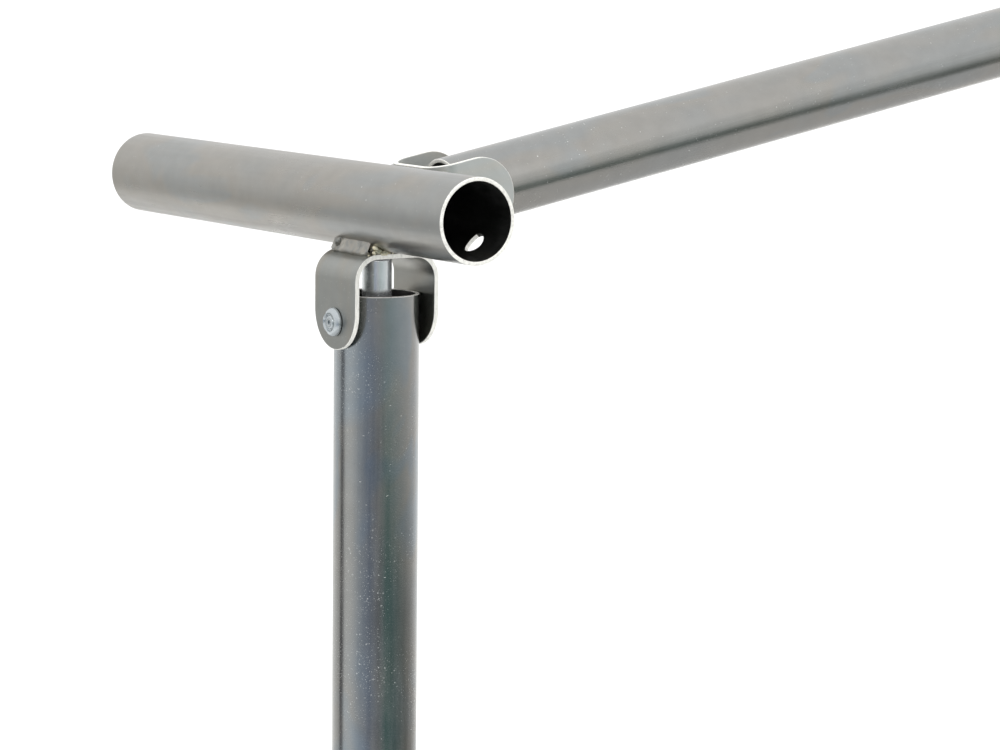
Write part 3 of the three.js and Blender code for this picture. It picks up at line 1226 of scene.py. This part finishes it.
@dataclass
class Head:
    """The cross tube with its two clevises, stub pin, welds, hinge bolts, nuts and spacers."""

    end: EndFrame
    finishes: Finishes
    outer: float = 16.0
    wall: float = 1.5
    rail: float = 14.0
    short_arm: float = 68.5
    long_arm: float = 181.5
    gap: float = 0.3
    rail_drop: float = 2.7
    hole: float = 4.2
    hole_from_end: float = 18.0
    hole_angle: float = -43.0
    pin: float = 5.6
    pin_tip: float = 37.4
    fastener: Fastener = Fastener()
    post_strap: StrapClevis = StrapClevis(reach=36.4, bolt_drop=26.0)
    rail_strap: StrapClevis = StrapClevis(reach=33.0, bolt_drop=21.4)
    bead_across: float = 9.6
    bead_depth: float = 1.9
    outer_bead: Point = (-11.5, 13.6)
    inner_bead: Point = (-7.5, 12.5)
    rail_bead: Point = (-12.3, 12.3)
    rail_bead_across: float = 9.0

    @property
    def web(self) -> float:
        """Gives how far a strap's web lies from the cross tube's axis."""
        return self.outer + self.gap

    @property
    def body(self) -> str:
        """Names the body that the head's pieces ride on."""
        return self.end.name("head")

    def build(self) -> None:
        """Builds and dresses every piece of the head."""
        self.cross_tube()
        self.stub_pin()
        post_frame = self.end.matrix @ shift(z=-self.web)
        self.clevis("post_clevis", self.post_strap, post_frame, self.finishes.strap)
        drop = self.rail_drop
        splay = math.radians(self.end.splay)
        level = shift(x=drop * math.sin(splay), z=-drop * math.cos(splay)) @ spin(-self.end.splay, "Y")
        rail_frame = self.end.matrix @ level @ spin(-90, "Y") @ shift(z=-self.web)
        sideways = rail_frame @ spin(90, "Z")
        # The rail clevis takes the paler copy of the strap finish, which is painted light.
        self.clevis("rail_clevis", self.rail_strap, sideways, self.finishes.strap_painted_light)
        self.post_welds(post_frame)
        self.rail_welds(rail_frame)
        self.hinge("post", self.end.matrix @ shift(z=-self.end.post_pivot) @ spin(-90, "Y"))
        hinge = self.end.rail_hinge @ ALONG_Y
        self.hinge("rail", self.end.rail_hinge @ spin(90, "X"))
        middle = (self.rail + self.rail_strap.inner_half) / 2
        for place, way in (("front", -1), ("back", 1)):
            node = self.end.name(f"rail_spacer_{place}")
            washer = self.fastener.spacer(f"{node}_turned").dress((self.finishes.nylon,))
            washer.place(hinge @ shift(z=way * middle)).mount(self.body, Slot.NYLON, node)

    def cross_tube(self) -> None:
        """Builds the short cross tube with the small hole near its front end."""
        node = self.end.name("cross_tube")
        piece = tube(f"{node}_plated", self.outer, self.wall, -self.short_arm, self.long_arm,
                     SAWN_EDGE, FINE)
        drill = rod(self.hole, self.outer / 2, self.outer + 4)
        aim = shift(z=self.hole_from_end - self.short_arm) @ spin(-self.hole_angle, "Z") @ ALONG_X
        piece.combine("DIFFERENCE", drill.reshape(aim))
        piece.dress(self.finishes.tube_set(self.finishes.satin), tube_faces)
        piece.place(self.end.matrix @ ALONG_Y).mount(self.body, Slot.TUBE, node)

    def stub_pin(self) -> None:
        """Builds the stub pin with its chamfer and the weld ring at its root."""
        node = self.end.name("stub_pin")
        root = -self.web - 2.0 - 0.05
        tip = -self.pin_tip
        outline = [(self.pin - 0.7, tip), (self.pin - 0.6, tip), (self.pin, tip + 0.7),
                   (self.pin, root - 1.9), (self.pin + 0.35, root - 1.3),
                   (self.pin + 0.95, root - 0.8), (self.pin + 1.1, root)]
        piece = Piece.turned(f"{node}_ground", outline, 72).dress((self.finishes.ground,))
        piece.place(self.end.matrix).mount(self.body, Slot.TUBE, node)

    def clevis(self, part: str, strap: StrapClevis, place: Matrix,
               skin: Material) -> None:
        """Builds one bent strap.

        Args:
            part: the CAD node's short name.
            strap: its sizes.
            place: its frame.
            skin: the finish of its faces.
        """
        node = self.end.name(part)
        piece = strap.build(f"{node}_bent")
        piece.dress((skin, self.finishes.cut), strap.face)
        piece.place(place).mount(self.body, Slot.STRAP, node)

    def beside_tube(self, centre_x: float) -> Callable[[Vector], Vector]:
        """Makes the rule that keeps weld metal inside the tube's wall and the strap.

        Args:
            centre_x: where the tube's axis is across the strap.

        Returns:
            The rule.
        """
        deepest = self.outer - self.wall * 0.6

        def keep(point: Vector) -> Vector:
            """Moves a point out of the bore and off the strap's far side."""
            axis = Vector((centre_x, point.y, self.web))
            away = point - axis
            if away.length < deepest:
                point = axis + away.normalized() * deepest
            point.z = max(point.z, -1.4 - max(0.0, abs(point.x) - 8.3) * 0.25)
            return point

        return keep

    def run(self, node: str, centre_x: float, across: float, ends: Point, place: Matrix,
            weld: WeldRun = WeldRun()) -> None:
        """Lays one bead along Y in the groove between a strap and the tube.

        Args:
            node: the CAD node that it stands for.
            centre_x: where the tube's axis is across the strap.
            across: where the bead lies across the strap.
            ends: its start and end along Y.
            place: the strap's frame.
            weld: how the bead is run.
        """
        step = 0.2
        low, high = ends
        count = int((high - low) / step)
        route = [Vector((across, low + step * i, self.bead_depth)) for i in range(count + 1)]
        keep = self.beside_tube(centre_x)
        outward = Vector((math.copysign(1.0, across - centre_x), 0, 0.5))
        piece = weld.bead(f"{node}_run", route, outward, keep)
        piece.dress((self.finishes.weld,), crease=60)
        piece.place(place).mount(self.body, Slot.WELD, node)

    def post_welds(self, place: Matrix) -> None:
        """Lays the two beads that hold the post's clevis, and the spatter at the strap's front."""
        outer, inner = self.end.name("post_weld_outer"), self.end.name("post_weld_inner")
        pocked = WeldRun(3.7, 2.1, ripple=0.02, pock_depth=1.7, pock_place=0.80, pock_size=1.8)
        self.run(outer, 0, -self.bead_across, self.outer_bead, place, pocked)
        self.run(inner, 0, self.bead_across, self.inner_bead, place)
        front = -self.post_strap.half_width
        drops = ((-7.4, 1.6, 0.9, 1.6), (-5.2, 0.5, 0.35, 1.15), (-8.9, 1.2, 2.3, 1.1),
                 (-6.4, 0.2, 0.1, 0.7), (-3.4, 0.5, 0.2, 0.55), (-9.6, 0.9, 0.4, 0.8),
                 (-1.9, 0.2, 0.15, 0.35), (-11.4, 1.5, -0.6, 0.5))
        weld = WeldRun()
        first, *rest = [weld.drop(f"drop{i}", Vector((x, front + y, z)), size)
                        for i, (x, y, z, size) in enumerate(drops)]
        first.combine("UNION", *rest)
        first.object.name = self.end.name("post_weld_spatter")
        first.dress((self.finishes.spatter,), crease=60)
        first.place(place).mount(self.body, Slot.WELD)

    def rail_welds(self, place: Matrix) -> None:
        """Lays the two beads that hold the rail's clevis."""
        for part, way in (("upper", 1), ("lower", -1)):
            node = self.end.name(f"rail_weld_{part}")
            across = self.rail_drop + way * self.rail_bead_across
            self.run(node, self.rail_drop, across, self.rail_bead, place)

    def hinge(self, part: str, place: Matrix) -> None:
        """Builds a hinge bolt and its nut.

        Args:
            part: which hinge.
            place: the bolt's frame, Z towards its head.
        """
        face = self.rail_strap.inner_half + self.rail_strap.thickness + 0.1
        grip = 2 * face + self.fastener.nut_height
        add_fastener(self.end, self.finishes, self.fastener, part, "head", place, face, grip)


def add_fastener(end: EndFrame, finishes: Finishes, fastener: Fastener, part: str, body: str,
                 place: Matrix, face: float, grip: float) -> None:
    """Adds a bolt and its nut through a joint.

    Args:
        end: the end of the stand.
        finishes: the materials.
        fastener: the bolt's and nut's sizes.
        part: the CAD nodes' short name.
        body: the body's short name.
        place: frame at the middle of the joint, Z towards the head.
        face: how far each outer face is from the middle.
        grip: length of the shank.
    """
    bolt = end.name(f"{part}_bolt")
    nut = end.name(f"{part}_nut")
    piece = fastener.bolt(f"{bolt}_domed", grip).dress((finishes.bolt,), crease=50)
    piece.place(place @ shift(z=face)).mount(end.name(body), Slot.BOLT, bolt)
    piece = fastener.nut(f"{nut}_hexagon").dress((finishes.bolt,), crease=28)
    piece.place(place @ spin(180, "X") @ shift(z=face)).mount(end.name(body), Slot.BOLT, nut)


# ---- post and leg -----------------------------------------------------------------------


@dataclass
class Post:
    """The upper tube of a telescopic post, with the black clamp collar at its foot."""

    end: EndFrame
    finishes: Finishes
    top: float = -32.3
    length: float = 600.0
    outer: float = 16.0
    wall: float = 1.5
    leg: float = 14.0
    collar: float = 20.0
    above: float = 24.0
    below: float = 22.0
    screw_drop: float = 11.0
    boss: float = 8.0
    boss_reach: float = 27.0
    screw_bore: float = 3.2
    rib_pitch: float = 4.0
    rib_depth: float = 0.7

    @property
    def seat(self) -> float:
        """Gives the height of the post's lower end."""
        return self.top - self.length

    def build(self) -> None:
        """Builds and dresses the post's pieces."""
        node = self.end.name("post_tube")
        piece = tube(f"{node}_plated", self.outer, self.wall, self.seat, self.top, SAWN_EDGE, FINE)
        piece.combine("DIFFERENCE", bolt_drill(-self.end.post_pivot, ALONG_X))
        piece.dress(self.finishes.tube_set(self.finishes.bright), tube_faces)
        piece.place(self.end.matrix).mount(self.end.name("post"), Slot.TUBE, node)
        self.clamp()

    def clamp(self) -> None:
        """Builds the collar, a sleeve with a ribbed skirt and a screw boss."""
        node = self.end.name("post_collar")
        grip, guide = self.outer + 0.15, self.leg + 0.15
        low, high = self.seat - self.below, self.seat + self.above
        skin = [(guide, low), (self.collar - 0.4, low), (self.collar, low + 2.0)]
        ribs, groove = 4, self.collar - self.rib_depth
        for i in range(ribs):
            level = self.seat + 3.0 + i * self.rib_pitch
            skin += [(self.collar, level), (groove, level + 0.4),
                     (groove, level + 1.2), (self.collar, level + 1.6)]
        skin += [(self.collar, high - 4.5), (self.collar - 2.4, high), (grip, high),
                 (grip, self.seat - 0.2), (guide, self.seat - 0.2)]
        piece = Piece.turned(f"{node}_moulded", rounded(skin, 0.8, 3), 128, loop=True)
        screw = self.seat - self.screw_drop
        root, inner = -self.leg - 1.5, self.screw_bore + 0.1
        outline = rounded([(inner, root), (self.boss + 0.5, root),
                           (self.boss, -self.boss_reach), (inner, -self.boss_reach)], 0.8, 3)
        boss = Piece.turned("boss", outline, 72, loop=True)
        boss.reshape(shift(z=screw) @ ALONG_X)
        piece.combine("UNION", boss)
        bore = rod(self.screw_bore, -self.boss_reach - 1, -self.leg + 1)
        bore.reshape(shift(z=screw) @ ALONG_X)
        piece.combine("DIFFERENCE", bore)
        piece.dress((self.finishes.plastic,), crease=35)
        piece.place(self.end.matrix).mount(self.end.name("post"), Slot.PLASTIC, node)


@dataclass
class Knob:
    """The five-lobed clamp knob with its stem and screw."""

    end: EndFrame
    finishes: Finishes
    lobes: int = 5
    inner: float = 11.5
    outer: float = 15.5
    thickness: float = 13.0
    stem: float = 6.5
    stem_length: float = 7.0
    screw: float = 3.0
    screw_length: float = 13.0
    sides: int = FINE

    def lobed(self, inset: float, height: float) -> Ring:
        """Gives a ring that follows the lobes.

        Args:
            inset: how far inside the full outline.
            height: the ring's height.

        Returns:
            The ring.
        """
        middle, swing = (self.outer + self.inner) / 2, (self.outer - self.inner) / 2
        ring = []
        for i in range(self.sides):
            angle = math.tau * i / self.sides
            radius = middle + swing * math.cos(self.lobes * angle) - inset
            ring.append(Vector((radius * math.cos(angle), radius * math.sin(angle), height)))
        return ring

    def build(self) -> None:
        """Builds and dresses the knob."""
        node = self.end.name("post_knob")
        low, high = self.stem_length, self.stem_length + self.thickness
        sides = self.sides
        rings = [circle(self.screw - 0.4, -self.screw_length, sides),
                 circle(self.screw, -self.screw_length + 0.5, sides),
                 circle(self.screw, 0.0, sides), circle(self.stem - 0.5, 0.0, sides),
                 circle(self.stem, 0.5, sides), circle(self.stem + 0.2, low - 0.9, sides),
                 circle(self.stem + 1.1, low, sides)]
        steps = 6
        fillet = 2.2
        edge = quarter(fillet, steps)
        rings += [self.lobed(inset, low + rise) for inset, rise in edge]
        rings += [self.lobed(rise, high - inset) for inset, rise in edge]
        dish = ((7.4, 0.0), (7.0, 0.2), (6.8, 0.9), (6.2, 1.1), (5.0, 0.7), (2.0, 0.4))
        rings += [circle(radius, high - drop, sides) for radius, drop in dish]
        piece = Piece.skin(f"{node}_moulded", rings).dress((self.finishes.plastic,), crease=40)
        joint = self.end.joints["knob_turn"]
        face = self.end.matrix.copy()
        face.translation = Vector(joint["pos_m"])
        bottom = self.knob_seat(face)
        piece.place(face @ spin(-90, "Y") @ shift(z=bottom))
        piece.mount(self.end.name("knob"), Slot.PLASTIC, node)

    def knob_seat(self, face: Matrix) -> float:
        """Gives how far the stem's seat is from the joint's point, along the screw.

        Args:
            face: frame at the joint's point.

        Returns:
            The distance in millimetres.
        """
        low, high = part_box(self.end.name("post_knob"))
        outward = -(face.to_3x3() @ Vector((1, 0, 0)))
        centre = (low + high) / 2
        whole = self.screw_length + self.stem_length + self.thickness
        middle = (centre - face.translation).dot(outward) / MM
        return middle + whole / 2 - self.stem_length - self.thickness


@dataclass
class Leg:
    """The lower tube with its welded socket, cross foot, caps and bolt."""

    end: EndFrame
    finishes: Finishes
    seat: float = -632.3
    overlap: float = 110.0
    length: float = 640.0
    outer: float = 14.0
    wall: float = 1.5
    foot: float = 16.0
    foot_half: float = 230.0
    socket_top: float = 70.0
    bolt_height: float = 48.0
    leg_seat: float = 20.0
    sole_drop: float = 24.0
    cap: float = 19.5
    cap_cover: float = 22.0
    cap_wall: float = 3.0
    sole_half: float = 15.0

    @property
    def foot_axis(self) -> float:
        """Gives the height of the foot tube's axis."""
        return self.seat + self.overlap - self.length - self.leg_seat

    @property
    def body(self) -> str:
        """Names the body that the leg's pieces ride on."""
        return self.end.name("leg")

    def build(self) -> None:
        """Builds and dresses the leg's pieces."""
        skins = self.finishes.tube_set(self.finishes.bright)
        node = self.end.name("leg_tube")
        top = self.seat + self.overlap
        bolt_level = self.foot_axis + self.bolt_height
        piece = tube(f"{node}_plated", self.outer, self.wall, top - self.length, top)
        piece.combine("DIFFERENCE", bolt_drill(bolt_level, ALONG_X))
        piece.dress(skins, tube_faces).place(self.end.matrix).mount(self.body, Slot.TUBE, node)
        self.socket(bolt_level)
        self.foot_tube()
        for place, way in (("front", -1), ("back", 1)):
            self.foot_cap(place, way)
        place = self.end.matrix @ shift(z=bolt_level) @ spin(-90, "Y")
        fastener = Fastener()
        grip = 2 * self.foot + fastener.nut_height
        add_fastener(self.end, self.finishes, fastener, "foot", "leg", place, self.foot + 0.1, grip)

    def socket(self, bolt_level: float) -> None:
        """Builds the socket, coped to sit on the foot tube, and the weld round its root.

        Args:
            bolt_level: height of the bolt through it.
        """
        node = self.end.name("foot_socket")
        low, high = self.foot_axis, self.foot_axis + self.socket_top
        piece = tube(f"{node}_plated", self.foot, self.wall, low, high)
        saddle = rod(self.foot + 0.3, -DRILL_HALF, DRILL_HALF, FINE)
        saddle.reshape(shift(z=self.foot_axis) @ ALONG_Y)
        piece.combine("DIFFERENCE", saddle, bolt_drill(bolt_level, ALONG_X))
        piece.dress(self.finishes.tube_set(self.finishes.satin), tube_faces)
        piece.place(self.end.matrix).mount(self.body, Slot.TUBE, node)
        around = 260
        route = []
        for i in range(around):
            angle = math.tau * i / around
            x, y = (self.foot + 0.5) * math.cos(angle), (self.foot + 0.5) * math.sin(angle)
            rise = math.sqrt(max(0.0, (self.foot + 0.9) ** 2 - x * x))
            route.append(Vector((x, y, self.foot_axis + rise)))
        bead = WeldRun(radius=1.9, face=1.9).bead(self.end.name("foot_weld"), route, Vector((0, 0, 1)),
                                        lambda point: point, closed=True)
        bead.dress((self.finishes.weld,), crease=60)
        bead.place(self.end.matrix).mount(self.body, Slot.WELD)

    def foot_tube(self) -> None:
        """Builds the cross foot."""
        node = self.end.name("foot_tube")
        piece = tube(f"{node}_plated", self.foot, self.wall, -self.foot_half, self.foot_half)
        piece.dress(self.finishes.tube_set(self.finishes.satin), tube_faces)
        place = self.end.matrix @ shift(z=self.foot_axis) @ ALONG_Y
        piece.place(place).mount(self.body, Slot.TUBE, node)

    def sole_outline(self, inset: float, height: float) -> Ring:
        """Gives the cap's outline: round above, with a flat sole below.

        Args:
            inset: how far inside the full outline.
            height: where the ring lies along the cap.

        Returns:
            The ring, with the sole towards -Y.
        """
        radius, half, drop = self.cap - inset, self.sole_half - inset, self.sole_drop - inset
        meet = math.asin(half / radius)
        arc_steps = 72
        start = -math.pi / 2 + meet
        sweep = math.tau - 2 * meet
        turns = [start + sweep * k / arc_steps for k in range(arc_steps + 1)]
        arc = [(radius * math.cos(turn), radius * math.sin(turn)) for turn in turns]
        corners = rounded([arc[-1], (-half, -drop), (half, -drop), arc[0]], 2.2, 8, closed=False)
        return [Vector((x, y, height)) for x, y in arc + corners[1:-1]]

    def foot_cap(self, place: str, way: int) -> None:
        """Builds one end cap with its flat sole and grip grooves.

        Args:
            place: front or back.
            way: -1 for the front, 1 for the back.
        """
        node = self.end.name(f"foot_cap_{place}")
        steps, fillet = 5, 2.4
        rings = [self.sole_outline(inset, self.cap_wall - rise)
                 for inset, rise in quarter(fillet, steps)]
        for groove in (6.0, 10.0, 14.0):
            level = self.cap_wall - groove
            rings += [self.sole_outline(0.0, level + 0.9), self.sole_outline(0.5, level + 0.6),
                      self.sole_outline(0.5, level - 0.2), self.sole_outline(0.0, level - 0.5)]
        rim = -self.cap_cover
        rings += [self.sole_outline(0.0, rim + 0.7), self.sole_outline(0.6, rim)]
        bore = self.foot + 0.15
        for level in (rim, 0.0):
            ring = []
            for point in self.sole_outline(0.0, level):
                flat = Vector((point.x, point.y)).normalized() * bore
                ring.append(Vector((flat.x, flat.y, level)))
            rings.append(ring)
        piece = Piece.skin(f"{node}_moulded", rings[::-1]).dress((self.finishes.plastic,), crease=35)
        level = self.end.matrix @ shift(y=way * (self.foot_half + 0.15), z=self.foot_axis)
        upright = spin(-self.end.splay, "Y") @ spin(90, "X")
        if way > 0:
            upright = upright @ spin(180, "Y")
        piece.place(level @ upright).mount(self.body, Slot.PLASTIC, node)


@dataclass
class Rail:
    """The top rail, the body that everything else hangs from."""

    finishes: Finishes
    outer: float = 14.0
    wall: float = 1.5
    pivot_span: float = 1520.0
    beyond: float = 7.7

    def build(self) -> None:
        """Builds and dresses the rail."""
        half = self.pivot_span / 2 + self.beyond
        piece = tube("rail_tube_plated", self.outer, self.wall, -half, half, SAWN_EDGE, FINE)
        for way in (-1, 1):
            piece.combine("DIFFERENCE", bolt_drill(way * self.pivot_span / 2, spin(90, "X")))
        piece.dress(self.finishes.tube_set(self.finishes.drawn), tube_faces)
        low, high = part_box("rail_tube")
        centre = Matrix.Translation((low + high) / 2)
        piece.place(centre @ ALONG_X).mount("rail", Slot.TUBE, "rail_tube")


# ---- studio -----------------------------------------------------------------------------


@dataclass(frozen=True)
class Surround:
    """A curved screen round the left head, seen only in reflections, that shades the front.

    Bearings are degrees round the head from the way back to the camera, positive to the right.
    """

    radius: float = 1.7
    sides: int = 144
    lean: float = -0.48
    levels: tuple[float, ...] = (0.0, 0.12, 0.40, 0.50, 0.78, 0.90, 1.10, 1.4, 1.9)
    fades: tuple[float, ...] = (0.0, 0.35, 0.75, 1.0, 1.0, 0.72, 0.50, 0.25, 0.0)
    # The apron is a grey disc just above the floor round the head, seen only in reflections: painted
    # shade that darkens what the tubes' undersides mirror.
    apron_rings: tuple[tuple[float, float], ...] = ((0.01, 0.8), (1.5, 0.8), (2.4, 0.0))
    apron_tone: float = 0.5
    apron_lift: float = 0.004
    stops: tuple[tuple[float, float, tuple[float, float, float]], ...] = (
        (-180.0, 0.15, (0.80, 0.80, 0.76)), (-132.0, 0.55, (0.58, 0.58, 0.56)),
        (-117.0, 0.75, (0.50, 0.50, 0.48)), (-110.0, 0.75, (0.50, 0.50, 0.48)),
        (-106.0, 1.00, (0.04, 0.04, 0.05)),
        (-96.0, 1.00, (0.04, 0.04, 0.05)), (-91.0, 0.80, (0.80, 0.82, 0.82)),
        (-70.0, 0.80, (0.74, 0.76, 0.76)), (-45.0, 0.92, (0.36, 0.42, 0.49)),
        (-20.0, 1.00, (0.19, 0.24, 0.33)), (8.0, 1.00, (0.20, 0.21, 0.22)),
        (28.0, 1.00, (0.06, 0.15, 0.135)), (55.0, 1.00, (0.10, 0.16, 0.155)),
        (90.0, 1.00, (0.17, 0.18, 0.165)), (112.0, 0.90, (0.24, 0.235, 0.22)),
        (140.0, 0.60, (0.48, 0.46, 0.44)), (180.0, 0.15, (0.80, 0.80, 0.76)),
    )

    def mix(self, bearing: float) -> tuple[float, float, float, float]:
        """Gives the screen's colour and cover at a bearing.

        Args:
            bearing: the bearing in degrees.

        Returns:
            Linear RGB and cover.
        """
        for low, high in zip(self.stops, self.stops[1:]):
            if low[0] <= bearing <= high[0]:
                share = (bearing - low[0]) / (high[0] - low[0])
                first, second = (*low[2], low[1]), (*high[2], high[1])
                return tuple(a + (b - a) * share for a, b in zip(first, second))
        return (*self.stops[-1][2], self.stops[-1][1])

    def build(self, centre: Vector, forward: Vector) -> None:
        """Stands the screen round a point.

        Args:
            centre: the point, at floor level.
            forward: the way that the camera looks.
        """
        flat = Vector((forward.x, forward.y, 0)).normalized()
        right = Vector((flat.y, -flat.x, 0))
        wall, apron = [], []
        for k in range(self.sides + 1):
            bearing = -180.0 + 360.0 * k / self.sides
            turn = math.radians(bearing)
            way = -flat * math.cos(turn) + right * math.sin(turn)
            red, green, blue, cover = self.mix(bearing)
            foot = centre + way * self.radius + Vector((0, 0, self.lean * way.x))
            wall.append([(foot + Vector((0, 0, level)), (red, green, blue, cover * fade))
                         for level, fade in zip(self.levels, self.fades)])
            tone = (self.apron_tone,) * 3
            apron.append([(centre + way * reach + Vector((0, 0, self.apron_lift)), (*tone, cover))
                          for reach, cover in self.apron_rings])
        self.sheet("studio_screen", wall)
        self.sheet("studio_apron", apron)

    def sheet(self, name: str, columns: Sequence[Sequence[tuple[Vector, Sequence[float]]]]) -> None:
        """Makes a sheet that only reflections show.

        Args:
            name: the sheet's name.
            columns: columns of points in metres with their colour and cover.
        """
        rows = len(columns[0])
        points = [entry for column in columns for entry in column]
        faces = [(rows * k + j, rows * (k + 1) + j, rows * (k + 1) + j + 1, rows * k + j + 1)
                 for k in range(len(columns) - 1) for j in range(rows - 1)]
        screen = Piece(name, [place / MM for place, _ in points], faces).object
        layer = screen.data.color_attributes.new("tone", "FLOAT_COLOR", "POINT")
        for entry, (_, colour) in zip(layer.data, points):
            entry.color = colour
        screen.data.materials.append(self.cloth())
        for rays in ("camera", "diffuse", "shadow", "transmission"):
            setattr(screen, f"visible_{rays}", False)
        screen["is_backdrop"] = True

    @staticmethod
    def cloth() -> Material:
        """Makes the screen's glowing, part-clear material."""
        material = bpy.data.materials.new("studio_screen")
        material.use_nodes = True
        tree = material.node_tree
        tree.nodes.clear()
        tone = tree.nodes.new("ShaderNodeVertexColor")
        tone.layer_name = "tone"
        glow = tree.nodes.new("ShaderNodeEmission")
        clear = tree.nodes.new("ShaderNodeBsdfTransparent")
        mixed = tree.nodes.new("ShaderNodeMixShader")
        out = tree.nodes.new("ShaderNodeOutputMaterial")
        for source, target in ((tone.outputs["Color"], glow.inputs["Color"]),
                               (tone.outputs["Alpha"], mixed.inputs[0]),
                               (clear.outputs[0], mixed.inputs[1]),
                               (glow.outputs[0], mixed.inputs[2]),
                               (mixed.outputs[0], out.inputs[0])):
            tree.links.new(source, target)
        return material


@dataclass(frozen=True)
class Lamp:
    """One studio light: where it hangs, how wide and how strong it is, and if metal mirrors it."""

    name: str
    kind: str
    place: tuple[float, float, float]
    size: float
    power: float
    mirrored: bool


@dataclass
class Studio:
    """The pale floor, the soft light and the camera."""

    azimuth: float = -31.80
    elevation: float = 13.51
    roll: float = -8.83
    distance: float = 1.4212
    lens: float = 137.24
    aim: tuple[float, float, float] = (0.0217, -0.0325, -0.0672)
    sensor: float = 36.0
    far: float = 400.0
    floor_half: float = 60.0
    floor_gap: float = 0.0005
    lamps: tuple[Lamp, ...] = (
        Lamp("open_sky", "SUN", (0.0, 0.0, 6.0), math.radians(70), 1.1, False),
        Lamp("overhead", "AREA", (0.0, 0.5, 4.5), 5.0, 60.0, False),
        Lamp("glint", "AREA", (-0.2, -2.6, 2.2), 0.35, 9.0, True),
    )

    @property
    def target(self) -> Vector:
        """Gives the point that the camera looks at."""
        return EndFrame(Side.LEFT).matrix.translation + Vector(self.aim)

    @property
    def forward(self) -> Vector:
        """Gives the way that the camera looks."""
        az, el = math.radians(self.azimuth), math.radians(self.elevation)
        return Vector((-math.sin(az) * math.cos(el), math.cos(az) * math.cos(el), -math.sin(el)))

    def build(self) -> None:
        """Builds the floor, lights, screen and camera."""
        self.floor()
        self.sky()
        self.lights()
        head = EndFrame(Side.LEFT).matrix.translation
        Surround().build(Vector((head.x, head.y, 0)), self.forward)
        self.camera()

    def floor(self) -> None:
        """Lays the pale floor."""
        half = self.floor_half / MM
        corners = [Vector((x * half, y * half, 0.0)) for x, y in ((-1, -1), (1, -1), (1, 1), (-1, 1))]
        piece = Piece("studio_floor", corners, [(0, 1, 2, 3)])
        piece.object.data.materials.append(FloorPaint().make())
        piece.object.location.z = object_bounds()[0][2] - self.floor_gap
        piece.object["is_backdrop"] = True

    def sky(self) -> None:
        """Sets an even, white sky and a plain rendering of tones."""
        world = bpy.data.worlds.new("soft_sky")
        bpy.context.scene.world = world
        world.use_nodes = True
        back = world.node_tree.nodes["Background"]
        back.inputs["Color"].default_value = (1.0, 1.0, 1.0, 1.0)
        back.inputs["Strength"].default_value = 1.0
        bpy.context.scene.view_settings.view_transform = "Standard"

    def lights(self) -> None:
        """Hangs the soft lights."""
        for lamp in self.lamps:
            light = bpy.data.lights.new(lamp.name, lamp.kind)
            light.energy = lamp.power
            if lamp.kind == "SUN":
                light.angle = lamp.size
            else:
                light.shape = "SQUARE"
                light.size = lamp.size
            holder = bpy.data.objects.new(lamp.name, light)
            bpy.context.scene.collection.objects.link(holder)
            holder.location = lamp.place
            way = self.target - holder.location
            holder.rotation_euler = way.to_track_quat("-Z", "Y").to_euler()
            holder.visible_camera = False
            holder.visible_glossy = lamp.mirrored

    def camera(self) -> None:
        """Sets the camera at its viewing angle."""
        data = bpy.data.cameras.new("studio_camera")
        data.lens = self.lens
        data.sensor_width = self.sensor
        data.clip_end = self.far
        holder = bpy.data.objects.new("studio_camera", data)
        bpy.context.scene.collection.objects.link(holder)
        turn = self.forward.to_track_quat("-Z", "Y").to_matrix().to_4x4()
        place = Matrix.Translation(self.target - self.forward * self.distance)
        holder.matrix_world = place @ turn @ spin(self.roll, "Z")
        bpy.context.scene.camera = holder


def main() -> None:
    """Builds the stand from the rail outwards, then the studio."""
    logging.basicConfig(level=logging.INFO, format="%(message)s")
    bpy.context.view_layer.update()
    finishes = Finishes()
    Studio().build()
    Rail(finishes).build()
    for side in Side:
        end = EndFrame(side)
        Head(end, finishes).build()
        Post(end, finishes).build()
        Knob(end, finishes).build()
        Leg(end, finishes).build()
        LOG.info("%s end is built", side.value)


if __name__ == "__main__":
    main()
